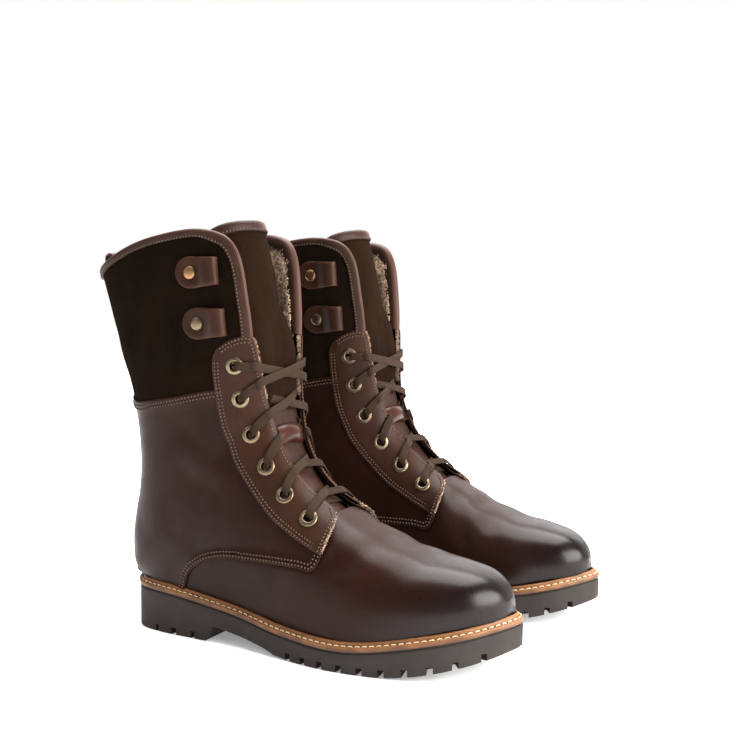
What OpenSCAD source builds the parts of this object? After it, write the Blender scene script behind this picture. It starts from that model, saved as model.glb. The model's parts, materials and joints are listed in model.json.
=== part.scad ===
// A pair of lace-up insulated hunting boots, size EU 42.
// Millimetres, +Z up, toes toward +X. The right boot stands on the -Y side and the left one,
// its mirror image, on the +Y side. The origin is on the floor, under the middle of the pair.
//
// Every piece of the upper lies on one curved skin, skin(t, u):
//   t counts the sections from the toe (0) over the instep (8) and the heel (14) to the top (24),
//   u goes round a section: 0 on the centre front, -1 and +1 at the sole or the back seam,
//   negative on the outer (lateral) side and positive on the inner (medial) side.
// A panel is a patch between four edges drawn on that skin, with an inner and an outer offset.

/* [Pair] */
// distance between the two boots, heel to heel
pair_gap = 143; // [125:1:180]
// how far the left boot stands ahead of the right one
pair_lead = 12.6; // [0:0.2:30]
// toe-in of the left boot, degrees
pair_toe_in = 1.6; // [0:0.1:6]

/* [Leather and lining] */
// thickness of the upper leather and suede
leather = 2; // [1.2:0.1:2.6]
// thickness of the leather laid on top: eyestays, back strap, binding
overlay = 1.3; // [0.8:0.1:2]
// thickness of the pressed fleece lining
fleece = 3.2; // [2:0.1:3.4]
// air gap left between two layers
layer_gap = 0.3; // [0.2:0.05:0.6]
// room left for the padding between the leather and the fleece
padding = 1.4; // [1:0.1:1.6]
// depth that the collar binding reaches over the edge
binding_depth = 7; // [5:0.5:10]

/* [Sole] */
// thickness of the welt
welt_height = 3.7; // [3:0.1:5]
// width of the welt ring, from its outer edge inward
welt_width = 9; // [7:0.5:12]
// thickness of the insulating footbed
footbed_height = 5; // [3:0.5:8]
// length of the heel block, from the back of the sole
heel_length = 80; // [60:1:90]
// height of the arch underside above the floor, behind the ball of the foot
arch_height = 11; // [6:0.5:16]
// depth of the lug notches in the sole's edge
lug_depth = 5; // [3:0.5:8]
// width of a lug notch
lug_gap = 5; // [3:0.5:8]

/* [Lacing] */
// outer diameter of an eyelet flange
eyelet_d = 12.6; // [10:0.2:14]
// bore of an eyelet
eyelet_bore = 6.4; // [5.6:0.1:8]
// width of the flat lace
lace_width = 5; // [3:0.2:5.2]
// thickness of the flat lace
lace_thickness = 1.4; // [1:0.1:1.5]
// length of an aglet
aglet_length = 16; // [12:1:25]
// diameter of an aglet
aglet_d = 3.6; // [3:0.1:5]

/* [Lace loops] */
// width of a lace loop's strap
loop_width = 19; // [15:0.5:25]
// diameter of a lace loop's round end
loop_end_d = 22; // [18:0.5:26]
// length of a lace loop, from its round end to its fold
loop_length = 34; // [28:1:42]
// clear gap inside the fold
loop_gap = 5.8; // [4:0.2:6]
// diameter of a rivet cap
rivet_d = 9; // [7:0.5:12]

/* [Pull loop] */
// width of the pull loop at the back
pull_width = 16; // [12:1:25]
// height of the pull loop
pull_height = 30; // [20:1:40]

/* [Hidden] */
$fn = 32;
boots = ["right", "left"];
sub_parts = [
    "outsole", "welt", "insole_board", "footbed", "vamp", "lateral_quarter", "medial_quarter",
    "lateral_cuff", "medial_cuff", "back_strap", "lateral_eyestay", "medial_eyestay",
    "lateral_eyelets", "medial_eyelets", "lateral_upper_loop", "lateral_lower_loop",
    "medial_upper_loop", "medial_lower_loop", "rivets", "tongue_lower", "tongue_upper",
    "tongue_binding", "tongue_keeper", "collar_binding", "pull_loop", "lining", "lace",
    "lateral_lace_tail", "medial_lace_tail", "aglets"];

// colours
rubber_grey = [0.20, 0.19, 0.17];
welt_tan = [0.62, 0.42, 0.24];
brown = [0.26, 0.19, 0.17];
dark_suede = [0.12, 0.09, 0.07];
overlay_brown = [0.29, 0.22, 0.19];
fleece_beige = [0.62, 0.57, 0.50];
tongue_brown = [0.24, 0.18, 0.13];
lace_brown = [0.33, 0.27, 0.23];
antique_brass = [0.60, 0.52, 0.38];
rivet_copper = [0.75, 0.58, 0.38];

// where the right boot's heel stands in the pair's frame
pair_centre = [138.3, pair_gap / 2 + 0.5, 0];

// Profile of the skin, one row per section: the sole or back point [x, z],
// then the top or front point [x, z].
profile = [
    [[294, 36], [294.2, 42]], [[292, 35], [292.5, 49]], [[287, 34], [287, 57]],
    [[277, 32], [276, 64.3]], [[262, 28.8], [259, 68.3]], [[243, 25.2], [238, 71.5]],
    [[220, 20.9], [212, 79]], [[192, 18.7], [187, 91.5]], [[163, 19.5], [166, 105]],
    [[133, 22], [150, 119]], [[100, 27.2], [139, 133]], [[65, 32], [132, 147]],
    [[30, 35], [128, 160]], [[9, 36], [126, 171]], [[0, 41], [125, 181]],
    [[-1.5, 58], [124.5, 192]], [[2.5, 82], [124, 204]], [[7.5, 108], [123.5, 217]],
    [[8.5, 133], [122.5, 230]], [[5, 163], [121, 243]], [[-2.5, 192], [119, 257]],
    [[-10.5, 222], [116.5, 271]], [[-19, 250], [113.5, 285]], [[-25, 269], [111, 296]],
    [[-31, 288], [108.5, 307]]];

// Half-widths of the sections: at the sole or back seam, and at the widest.
seam = 0.3;
widths = [
    [0.5, 0.6], [8, 9], [17, 18.5], [26, 28], [34, 36], [41, 43], [44.5, 46.5], [44, 46],
    [39, 42.5], [33.5, 38.5], [30, 36.5], [30, 36.5], [28.5, 37], [18, 37.5], [7, 38],
    [seam, 38.5], [seam, 39], [seam, 40], [seam, 41.5], [seam, 43], [seam, 44.5], [seam, 46],
    [seam, 47], [seam, 47.5], [seam, 48]];

// Sideways shift of the sections' middle: the forefoot curves inward.
swing = [5.5, 4.5, 3.5, 2, 0.5, -0.5, -2, -4.5, -6, -6, -4.5, -2.5, -1,
         0, 0, 0, 0, 0, 0, 0, 0, 0, 0, 0, 0];

// Every fourth section: height of the widest point, front roundness, back roundness.
roundness = [[0.30, 0.58, 0.6], [0.28, 0.65, 0.6], [0.26, 0.62, 0.6], [0.42, 0.45, 0.6],
             [0.50, 0.33, 0.6], [0.50, 0.23, 0.54], [0.50, 0.22, 0.52]];

// Edge of the sole in plan: x, then y on the outer side and y on the inner side.
sole_edge = [
    [0, -3, 3], [2, -11, 11], [6.5, -19.5, 19.5], [18, -30.5, 29.5], [40, -35.8, 34.5],
    [70, -37.9, 33], [105, -39.8, 29.5], [145, -47.6, 33], [185, -53.4, 43.5],
    [220, -51.2, 48.5], [250, -44.8, 45.5], [275, -32.5, 36], [291, -15.5, 22.5],
    [298, -3, 13], [300, 3, 8]];

// Height of the sole's top every 50 mm along the boot.
sole_top = [31.5, 29.5, 23.2, 16.2, 14.6, 22.6, 32.5];

// Height of the forefoot tread's underside, from x = 140 mm, every 20 mm.
tread_start = 140;
tread_line = [1.5, 0, 0, 0, 0.2, 2.2, 6, 11, 16.5];

// Edges on the skin, as [t, |u|] points; each is used on both sides of the boot.
vamp_seam = [[7.38, 0.10], [7.34, 0.2], [7.42, 0.29], [7.66, 0.37], [8.2, 0.395], [9, 0.44],
             [9.82, 0.51], [10.58, 0.61], [11, 0.70], [11.2, 0.79], [11.2, 0.9], [11.2, 1]];
throat_edge = [[7.38, 0.10], [7.82, 0.062], [8.4, 0.062], [9.46, 0.072], [11.26, 0.08],
               [14, 0.105], [15.9, 0.13]];
cuff_seam = [[15.9, 0.13], [15.9, 0.22], [16.2, 0.31], [16.79, 0.38], [17.35, 0.455], [17.8, 0.524],
             [18.19, 0.597], [18.54, 0.684], [18.8, 0.776], [19.15, 0.89], [19.35, 1]];
cuff_front = [[15.95, 0.13], [17.56, 0.155], [18.4, 0.152], [19.24, 0.147], [20.68, 0.136],
              [21.42, 0.146]];
topline = [[21.42, 0.146], [22, 0.176], [22.48, 0.226], [22.86, 0.292], [23.05, 0.358],
           [23.12, 0.453], [23.08, 0.552], [22.86, 0.68], [22.66, 0.785], [22.5, 0.9], [22.45, 1]];
eyestay_front = [[7.72, 0.056], [8.4, 0.055], [9.46, 0.066], [11.26, 0.075], [14, 0.10],
                 [16.8, 0.132], [17.4, 0.15]];
eyestay_back = [[7.44, 0.297], [8.68, 0.307], [9.48, 0.315], [10.62, 0.312], [12.04, 0.305],
                [13.4, 0.303], [15.3, 0.335], [16.92, 0.365], [17.88, 0.365], [18.2, 0.335]];
eyestay_foot = [[7.72, 0.056], [7.44, 0.09], [7.34, 0.15], [7.36, 0.22], [7.44, 0.297]];
eyestay_head = [[17.4, 0.15], [17.8, 0.21], [18.1, 0.28], [18.2, 0.335]];
lining_front = [[7.6, 0.31], [10, 0.33], [13, 0.33], [15.6, 0.36], [16.9, 0.37], [17.5, 0.24],
                [18.1, 0.175], [19.24, 0.162], [20.68, 0.15], [21.3, 0.16]];

// offset of the fleece's inner face from the skin
lining_face = -leather - padding - fleece;

// Eyelets from the top pair to the bottom pair, and the lace loops' rivets, as [t, |u|].
eyelets = [[16.8, 0.262], [14.96, 0.234], [12.36, 0.208], [10.62, 0.205], [9.28, 0.2], [8.12, 0.192]];
loop_rivets = [[21.25, 0.372], [19.5, 0.392]];
loop_leather = 1.4;
glue_gap = 0.4;
pull_foot = 21.9;
pull_lean = 5;
loop_seat = 1.25;

// Tongue, every fourth section from t = 6: depth below the skin's centre front,
// half-width, and how far its edges curve back.
tongue_shape = [[7, 20, 7], [7.2, 22, 10], [7.6, 23.5, 14], [9.5, 28, 20], [10.5, 31, 25], [11, 31, 26]];
tongue_first = 6;
tongue_thickness = 2.8;
tongue_start = 6.6;
tongue_fold = 17.7;
tongue_top = 23.25;
tongue_gap = 0.1;
tongue_crown = 0.6;
tongue_arc = 80;
// height of the lace crossings above the tongue: in the open, and under the keeper
lace_pass = 4.4;
keeper_pass = 2.7;
// half the distance between the middles of two laces where they cross
lace_stack = 0.85;
// half the keeper's width across the tongue, and half its height along it
keeper_half_span = 0.45;
keeper_half_band = 0.52;
// the run that starts at this eyelet pair goes under the keeper
keeper_pair = 3;

// ---- curves -----------------------------------------------------------------------------------

function blend4(a, b, c, d, s) =
    b + s / 2 * (c - a + s * (2 * a - 5 * b + 4 * c - d + s * (3 * (b - c) + d - a)));
// smooth curve through a list of points or numbers; one step of t per entry
function along(list, t) =
    let (last = len(list) - 1, i = max(0, min(floor(t), last - 1)),
         a = i > 0 ? list[i - 1] : 2 * list[0] - list[1],
         d = i + 2 <= last ? list[i + 2] : 2 * list[last] - list[last - 1])
    blend4(a, list[i], list[i + 1], d, t - i);
function part_way(list, s) = along(list, s * (len(list) - 1));
function unit(v) = v / max(norm(v), 1e-9);
function steps(n) = [for (i = [0:n]) i / n];

// ---- the skin and the tongue --------------------------------------------------------------------

function skin(t, u) =
    let (p = along(profile, t), w = along(widths, t), r = along(roundness, t / 4),
         widest = w[1], base = max(0, min(w[0], widest * 0.97)), a = abs(u),
         back_turn = acos(pow(base / widest, 1 / r[2])),
         front = a < 0.5,
         turn = front ? 90 * (1 - 2 * a) : (2 * a - 1) * back_turn,
         h = front ? r[0] + (1 - r[0]) * sin(turn) : r[0] - r[0] * sin(turn) / sin(back_turn),
         y = widest * pow(max(cos(turn), 0), front ? r[1] : r[2]),
         q = p[0] + (p[1] - p[0]) * h)
    [q[0], along(swing, t) + sign(u) * y, q[1]];

function tongue(t, v) =
    let (p = along(profile, t), r = along(tongue_shape, (t - tongue_first) / 4),
         inward = unit(p[0] - p[1]), turn = v * tongue_arc,
         q = p[1] + inward * (r[0] + r[2] * (1 - cos(turn)) / (1 - cos(tongue_arc))))
    [q[0], along(swing, t) + r[1] * sin(turn) / sin(tongue_arc), q[1]];

// a point on the skin (sheet 0) or on the tongue (sheet 1), and the outward direction there
function on(sheet, t, u) = sheet == 0 ? skin(t, u) : tongue(t, u);
function outward(sheet, t, u) =
    let (du = sheet == 0 ? 0.008 : 0.05, dt = 0.06,
         u0 = max(-1, u - du), u1 = min(1, u + du))
    unit(cross(on(sheet, t, u1) - on(sheet, t, u0), on(sheet, t + dt, u) - on(sheet, t - dt, u)));
function raised(sheet, t, u, offset) = on(sheet, t, u) + offset * outward(sheet, t, u);

// ---- solids from grids of points ---------------------------------------------------------------

// a closed solid between two grids of the same size; flip turns its faces
module slab(outer, inner, flip = false) {
    rows = len(outer);
    cols = len(outer[0]);
    size = rows * cols;
    function at(side, i, j) = side * size + i * cols + j;
    function quad(a, b, c, d) = [[a, b, c], [a, c, d]];
    faces = concat(
        [for (i = [0:rows - 2]) for (j = [0:cols - 2])
            for (f = quad(at(0, i, j), at(0, i, j + 1), at(0, i + 1, j + 1), at(0, i + 1, j))) f],
        [for (i = [0:rows - 2]) for (j = [0:cols - 2])
            for (f = quad(at(1, i, j), at(1, i + 1, j), at(1, i + 1, j + 1), at(1, i, j + 1))) f],
        [for (i = [0:rows - 2])
            for (f = concat(quad(at(0, i, 0), at(0, i + 1, 0), at(1, i + 1, 0), at(1, i, 0)),
                            quad(at(0, i, cols - 1), at(1, i, cols - 1),
                                 at(1, i + 1, cols - 1), at(0, i + 1, cols - 1)))) f],
        [for (j = [0:cols - 2])
            for (f = concat(quad(at(0, 0, j), at(1, 0, j), at(1, 0, j + 1), at(0, 0, j + 1)),
                            quad(at(0, rows - 1, j), at(0, rows - 1, j + 1),
                                 at(1, rows - 1, j + 1), at(1, rows - 1, j)))) f]);
    polyhedron(points = concat([for (row = outer) for (p = row) p], [for (row = inner) for (p = row) p]),
               faces = flip ? faces : [for (f = faces) [f[2], f[1], f[0]]]);
}

// a closed solid through rings of points, capped at both ends or joined into a loop
module rings_solid(rings, closed = false) {
    n = len(rings[0]);
    last = len(rings) - 1;
    faces = concat(
        [for (i = [0:closed ? last : last - 1]) for (j = [0:n - 1])
            let (k = (i + 1) % len(rings), a = i * n + j, b = i * n + (j + 1) % n,
                 c = k * n + (j + 1) % n, d = k * n + j)
            for (f = [[a, b, c], [a, c, d]]) f],
        closed ? [] : [[for (j = [n - 1:-1:0]) j], [for (j = [0:n - 1]) last * n + j]]);
    polyhedron(points = [for (ring = rings) for (p = ring) p], faces = faces);
}

// point of the patch between four edges: a runs front to back, b runs bottom to top
function patch(front, back, bottom, top, a, b) =
    (1 - b) * part_way(bottom, a) + b * part_way(top, a)
    + (1 - a) * part_way(front, b) + a * part_way(back, b)
    - (1 - a) * (1 - b) * bottom[0] - a * (1 - b) * bottom[len(bottom) - 1]
    - (1 - a) * b * top[0] - a * b * top[len(top) - 1];

// a leather piece between four edges on one side of the boot
module panel(front, back, bottom, top, side, low, high, columns, rows) {
    spots = [for (b = steps(rows)) [for (a = steps(columns))
        let (s = patch(front, back, bottom, top, a, b)) [s[0], side * s[1]]]];
    slab([for (row = spots) [for (s = row) raised(0, s[0], s[1], high)]],
         [for (row = spots) [for (s = row) raised(0, s[0], s[1], low)]], side < 0);
}

// a band folded over an edge: the route runs along the edge, with the piece on its inner side
module folded_band(sheet, route, side, low, high, depth, wall, count) {
    gap = layer_gap;
    section = [[-depth, high + gap], [-depth, high + gap + wall], [gap + wall, high + gap + wall],
               [gap + wall, low - gap - wall], [-depth, low - gap - wall], [-depth, low - gap],
               [gap, low - gap], [gap, high + gap]];
    rings = [for (s = steps(count))
        let (here = part_way(route, s), before = part_way(route, max(0, s - 0.01)),
             after = part_way(route, min(1, s + 0.01)),
             n = outward(sheet, here[0], side * here[1]),
             run = unit(on(sheet, after[0], side * after[1]) - on(sheet, before[0], side * before[1])),
             off = side * unit(cross(n, run)))
        [for (p = section) on(sheet, here[0], side * here[1]) + p[0] * off + p[1] * n]];
    rings_solid(side < 0 ? [for (ring = rings) [for (j = [len(ring) - 1:-1:0]) ring[j]]] : rings);
}

// turns local x, y and z toward ahead, up and n, at the place p
module set_at(p, n, ahead) {
    x = unit(ahead - (ahead * n) * n);
    y = cross(n, x);
    multmatrix([[x[0], y[0], n[0], p[0]], [x[1], y[1], n[1], p[1]], [x[2], y[2], n[2], p[2]], [0, 0, 0, 1]])
        children();
}

// ---- sole ---------------------------------------------------------------------------------------

function top_height(x) = along(sole_top, x / 50);
// edge of the sole at step k, moved in by inset
function edge_point(k, side, inset) =
    let (e = along(sole_edge, k), dk = 0.1,
         ahead = along(sole_edge, k + dk) - along(sole_edge, k - dk),
         run = unit([ahead[0], ahead[side]]), turned = side == 1 ? [-run[1], run[0]] : [run[1], -run[0]])
    [e[0], e[side]] + inset * turned;
function edge_steps(per) = [for (i = [0:(len(sole_edge) - 1) * per]) i / per];

// a plate with the sole's outline, between two heights given as functions of the lower face
module sole_plate(inset, rise, thickness, first = 0, final = 14, per = 2) {
    ks = [for (k = edge_steps(per)) if (k >= first && k <= final) k];
    left = [for (k = ks) edge_point(k, 1, inset)];
    right = [for (k = ks) edge_point(k, 2, inset)];
    function row(i, up) = [for (p = [left[i], right[i]]) [p[0], p[1], top_height(p[0]) + up]];
    slab([for (i = [0:len(ks) - 1]) row(i, rise + thickness)],
         [for (i = [0:len(ks) - 1]) row(i, rise)], true);
}

module welt() {
    ks = edge_steps(2);
    loop = concat([for (k = ks) [k, 1]], [for (i = [len(ks) - 1:-1:0]) [ks[i], 2]]);
    rings = [for (s = loop)
        let (a = edge_point(s[0], s[1], 0), b = edge_point(s[0], s[1], welt_width),
             za = top_height(a[0]), zb = top_height(b[0]))
        [[a[0], a[1], za + welt_height], [b[0], b[1], zb + welt_height], [b[0], b[1], zb], [a[0], a[1], za]]];
    color(welt_tan) rings_solid(rings, true);
}

module insole_board() {
    color(welt_tan) sole_plate(welt_width + 0.3, 0.15, welt_height - 0.2, 2, 12.5);
}

module footbed() {
    color(fleece_beige) sole_plate(13.5, welt_height + 0.25, footbed_height, 3, 12);
}

function tread_height(x) =
    x < heel_length ? 0
    : x < tread_start ? let (s = (x - heel_length) / (tread_start - heel_length))
        arch_height * pow(1 - s, 0.7) + tread_line[0] * s
    : along(tread_line, (x - tread_start) / 20);

module outsole() {
    breast = 5 + (heel_length - 70) / 35;
    ks = concat([for (k = edge_steps(3)) if (k < breast - 0.05) k], [breast, breast + 0.01],
                [for (k = edge_steps(3)) if (k > breast + 0.06) k]);
    function height(k, x) = k <= breast ? 0 : max(0, tread_height(max(x, heel_length)));
    color(rubber_grey) difference() {
        slab([for (k = ks) [for (s = [1, 2]) let (p = edge_point(k, s, 0))
                 [p[0], p[1], top_height(p[0]) - 0.1]]],
             [for (k = ks) [for (s = [1, 2]) let (p = edge_point(k, s, 0))
                 [p[0], p[1], height(k, p[0])]]], true);
        lug_notches();
    }
}

// notches between the lugs, cut into the tread from both sides
module lug_notches() {
    for (x = [22, 44, 160, 180, 200, 220, 240, 260], side = [-1, 1])
        translate([x, side * 58, tread_height(x) - 1])
            cube([lug_gap, 40, 2 * lug_depth], center = true);
}

// ---- upper --------------------------------------------------------------------------------------

module vamp() {
    seam_line = concat([for (i = [len(vamp_seam) - 1:-1:0]) [vamp_seam[i][0], -vamp_seam[i][1]]],
                       [[7.42, 0]], vamp_seam);
    toe_line = [for (p = seam_line) [0.05, p[1] * 0.999]];
    left = [for (s = steps(4)) [0.05 + s * 11.05, -1]];
    right = [for (s = steps(4)) [0.05 + s * 11.05, 1]];
    color(brown) panel(left, right, toe_line, [for (p = seam_line) [p[0] - 0.1, p[1]]], 1,
                       -leather, 0, 20, 11);
}

module quarter(side) {
    back = [for (s = steps(4)) [11.2 + s * 8.2, 1]];
    color(brown) difference() {
        panel(throat_edge, back, vamp_seam, cuff_seam, side, -leather, 0, 10, 14);
        eyelet_holes(side);
    }
}

module cuff(side) {
    foot = [for (p = cuff_seam) [p[0] + 0.05, p[1]]];
    back = [for (s = steps(2)) [19.45 + s * 3, 1]];
    color(dark_suede)
        difference() {
            panel(cuff_front, back, foot, topline, side, -leather, 0, 12, 8);
            eyelet_holes(side);
        }
}

module eyestay(side) {
    color(overlay_brown) difference() {
        panel(eyestay_front, eyestay_back, eyestay_foot, eyestay_head, side,
              layer_gap, layer_gap + overlay, 4, 15);
        eyelet_holes(side);
    }
}

module back_strap() {
    half = 0.05;
    ts = [for (s = steps(11)) 14.35 + s * 7.4];
    us = [for (a = [-1, -0.5, -0.02, 0.02, 0.5, 1]) a < 0 ? -1 - half * a : 1 - half * a];
    color(brown)
        slab([for (t = ts) [for (u = us) raised(0, t, u, layer_gap + overlay)]],
             [for (t = ts) [for (u = us) raised(0, t, u, layer_gap)]], true);
}

module collar_binding() {
    route = concat([[18.3, 0.152], [18.8, 0.149]], [for (i = [3:5]) cuff_front[i]],
                   [for (i = [1:9]) topline[i]], [[22.45, 0.965]]);
    color(brown) for (side = [-1, 1])
        folded_band(0, route, side, lining_face - 1.1, 0, binding_depth, overlay, 20);
}

module lining() {
    high = lining_face + fleece;
    toe_left = [for (s = steps(2)) [1.5 + s * 5.9, -0.98]];
    toe_right = [for (s = steps(2)) [1.5 + s * 5.9, 0.98]];
    toe_end = [[7.4, -0.98], [7.4, -0.6], [7.2, -0.4], [6.4, -0.2], [6.3, 0], [6.4, 0.2],
               [7.2, 0.4], [7.4, 0.6], [7.4, 0.98]];
    back = [for (s = steps(3)) [7.6 + s * 14.7, 1]];
    foot = [for (s = steps(2)) [7.6, 0.31 + s * 0.69]];
    head = concat([[21.3, 0.16]], [for (i = [1:len(topline) - 2]) topline[i] - [0.12, -0.005]], [[22.3, 1]]);
    color(fleece_beige) {
        panel(toe_left, toe_right, [for (p = toe_end) [1.5, p[1]]], toe_end, 1, lining_face, high, 16, 6);
        for (side = [-1, 1])
            panel(lining_front, back, foot, head, side, lining_face, high, 10, 14);
    }
}

// ---- eyelets, lace loops and rivets -------------------------------------------------------------

module at_eyelet(side, i) {
    e = eyelets[i];
    set_at(skin(e[0], side * e[1]), outward(0, e[0], side * e[1]), [0, 0, 1]) children();
}

module eyelet_holes(side) {
    for (i = [0:len(eyelets) - 1])
        at_eyelet(side, i) cylinder(d = eyelet_bore + 2, h = 14, center = true);
}

module eyelet_row(side) {
    seat = layer_gap + overlay + 0.35;
    bore = eyelet_bore / 2;
    color(antique_brass) for (i = [0:len(eyelets) - 1])
        at_eyelet(side, i) rotate_extrude()
            polygon([[bore, -leather - 0.6], [bore + 0.6, -leather - 0.6], [bore + 0.6, seat],
                     [eyelet_d / 2, seat], [eyelet_d / 2, seat + 0.3], [bore + 1.7, seat + 1.1],
                     [bore, seat + 0.8]]);
}

module at_loop(i, side) {
    r = loop_rivets[i];
    n = outward(0, r[0], side * (r[1] - 0.04));
    set_at(skin(r[0], side * r[1]), n, [1, 0, 0.05]) children();
}

// a leather strap folded back on itself, held by one rivet; the fold faces forward
module lace_loop(i, side) {
    flat = 2 * loop_leather + glue_gap;
    opening_from = 6;
    hole = 3.4;
    through = 30;
    mid = loop_leather + loop_gap / 2;
    fold = loop_length - loop_end_d / 2 - mid;
    color(overlay_brown) at_loop(i, side) difference() {
        intersection() {
            translate([0, 0, loop_seat]) rotate([90, 0, 0])
                linear_extrude(height = loop_end_d, center = true) difference() {
                    union() {
                        translate([-loop_end_d / 2, 0]) square([loop_end_d, flat]);
                        hull() {
                            translate([fold, mid]) circle(r = mid);
                            translate([fold - loop_gap, mid]) circle(r = mid);
                            translate([opening_from - 1, 0]) square([1, flat]);
                        }
                    }
                    hull() {
                        translate([fold, mid]) circle(d = loop_gap);
                        translate([fold - loop_gap, mid]) circle(d = loop_gap);
                        translate([opening_from, loop_leather]) square(glue_gap);
                    }
                    translate([-loop_end_d, loop_leather])
                        square([loop_end_d + opening_from + 1, glue_gap]);
                }
            linear_extrude(height = through, center = true) {
                circle(d = loop_end_d);
                translate([0, -loop_width / 2]) square([loop_length, loop_width]);
            }
        }
        cylinder(d = hole, h = through, center = true);
    }
}

module rivet_row() {
    seat = loop_seat + 2 * loop_leather + 0.45;
    shank = 1.5;
    rim = rivet_d / 2;
    color(rivet_copper) for (i = [0, 1], side = [-1, 1])
        at_loop(i, side) rotate_extrude()
            polygon([[0, loop_seat], [shank, loop_seat], [shank, seat], [rim, seat], [rim, seat + 0.5],
                     [rim - 1, seat + 1.3], [rim / 2, seat + 1.9], [0, seat + 2.1]]);
}

// ---- tongue -------------------------------------------------------------------------------------

module tongue_piece(first, final, columns, rows, crown = 0) {
    spots = [for (b = steps(rows)) [for (a = steps(columns))
        let (v = 2 * a - 1) [first + (final - crown * pow(v, 4) - first) * b, v]]];
    slab([for (row = spots) [for (s = row) raised(1, s[0], s[1], 0)]],
         [for (row = spots) [for (s = row) raised(1, s[0], s[1], -tongue_thickness)]]);
}

module tongue_lower() {
    color(brown) tongue_piece(tongue_start, tongue_fold - tongue_gap, 8, 12);
}

module tongue_upper() {
    color(tongue_brown) tongue_piece(tongue_fold + tongue_gap, tongue_top, 10, 7, tongue_crown);
}

module tongue_binding() {
    route = [for (a = steps(10)) let (v = 2 * a - 1) [tongue_top - tongue_crown * pow(v, 4), v]];
    color(overlay_brown) folded_band(1, route, 1, -tongue_thickness, 0, 9, overlay, 10);
}

// leather bridge sewn to the tongue at its top and foot; the crossing laces run under it
module tongue_keeper() {
    middle = (eyelets[keeper_pair][0] + eyelets[keeper_pair - 1][0]) / 2;
    wall = 1.3;
    function height(b) = 0.3 + 4.9 * pow(max(0, cos(b * 90)), 0.4);
    spots = [for (b = [-1, -0.9, -0.7, -0.3, 0.3, 0.7, 0.9, 1]) [for (a = [-1, -0.5, 0, 0.5, 1])
        [middle + b * keeper_half_band, a * keeper_half_span, height(b)]]];
    color(overlay_brown)
        slab([for (row = spots) [for (s = row) raised(1, s[0], s[1], s[2] + wall)]],
             [for (row = spots) [for (s = row) raised(1, s[0], s[1], s[2])]]);
}

module pull_loop() {
    wall = 1.5;
    bulge = 4.4;
    foot = 5;
    base = skin(pull_foot, 1) + [-3.1, 0, 0];
    color(dark_suede) translate([base[0], 0, base[2]]) rotate([0, -pull_lean, 0]) rotate([90, 0, 0])
        linear_extrude(height = pull_width, center = true) difference() {
            hull() {
                translate([-bulge, pull_height - bulge]) circle(r = bulge);
                translate([-bulge, pull_height - 2.5 * bulge]) circle(r = bulge);
                translate([-2 * wall - glue_gap, 0]) square([2 * wall + glue_gap, foot]);
            }
            hull() {
                translate([-bulge, pull_height - bulge]) circle(r = bulge - wall);
                translate([-bulge, pull_height - 2.5 * bulge]) circle(r = bulge - wall);
                translate([-wall - glue_gap, foot]) square(glue_gap);
            }
        }
}

// ---- lace ---------------------------------------------------------------------------------------

// a place near an eyelet, with the lace's width direction there: reach goes from 0 at the eyelet
// to 1 at the eyestay's front edge, height is above the skin
function by_eyelet(i, side, reach, height) =
    let (e = eyelets[i], u = side * (e[1] + (lookup(e[0], eyestay_front) - e[1]) * reach))
    [raised(0, e[0], u, height), unit(skin(e[0] + 0.5, u) - skin(e[0] - 0.5, u))];

// one run of the lace from eyelet i over the throat, under the far eyestay and up through the next
// eyelet; the last run goes over the eyestay and down into the top eyelet
function crossing(i, side, lift) =
    let (last = i == 1, mid_t = (eyelets[i][0] + eyelets[i - 1][0]) / 2,
         upward = by_eyelet(i, side, 0, 0)[1],
         middle = i == keeper_pair
             ? [for (a = [-1, 0, 1])
                   raised(1, mid_t + a * 0.1, -a * side * keeper_half_span * 1.15, keeper_pass + lift)]
             : [raised(1, mid_t, 0, lace_pass + lift)],
         far = last ? [[1.1, 4], [0.6, 4.2], [0.26, 4.7], [0.08, 3.3], [0.03, 1]]
                    : [[1.15, -4], [0.6, -4], [0.22, -4.3], [0.04, -3.4], [0, -1.5]])
    concat([for (r = [[0.03, 1.2], [0.08, 3.3], [0.26, 4.7], [0.6, 4.2], [1.1, 4]])
                by_eyelet(i, side, r[0], r[1])],
           [for (p = middle) [p, upward]],
           [for (r = far) by_eyelet(i - 1, -side, r[0], r[1])]);
function half_lace(side) =
    concat([by_eyelet(5, side, 0.02, -1.5)],
           [for (i = [5:-1:1]) let (from = i % 2 == 1 ? side : -side)
               for (p = crossing(i, from, -from * lace_stack)) p],
           [for (height = [-1.5, -4.5]) by_eyelet(0, -side, 0.02, height)]);

// flat ribbon along a route of [point, width direction]
module ribbon(route, width, thickness, count) {
    rings = [for (s = steps(count))
        let (here = part_way(route, s), p = here[0],
             run = unit(part_way(route, min(1, s + 0.002))[0] - part_way(route, max(0, s - 0.002))[0]),
             w = unit(here[1] - (here[1] * run) * run), n = cross(w, run))
        [for (c = [[-1, 0], [-0.75, -1], [0.75, -1], [1, 0], [0.75, 1], [-0.75, 1]])
            p + c[0] * width / 2 * w + c[1] * thickness / 2 * n]];
    rings_solid(rings);
}

module lace() {
    bar = [for (r = [-1:0.25:1]) [raised(0, eyelets[5][0], r * eyelets[5][1], -4.6),
                                  by_eyelet(5, 1, 0, 0)[1]]];
    color(lace_brown) {
        ribbon(bar, lace_width, lace_thickness, 10);
        for (side = [-1, 1])
            ribbon(half_lace(side), lace_width, lace_thickness, 78);
    }
}

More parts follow.
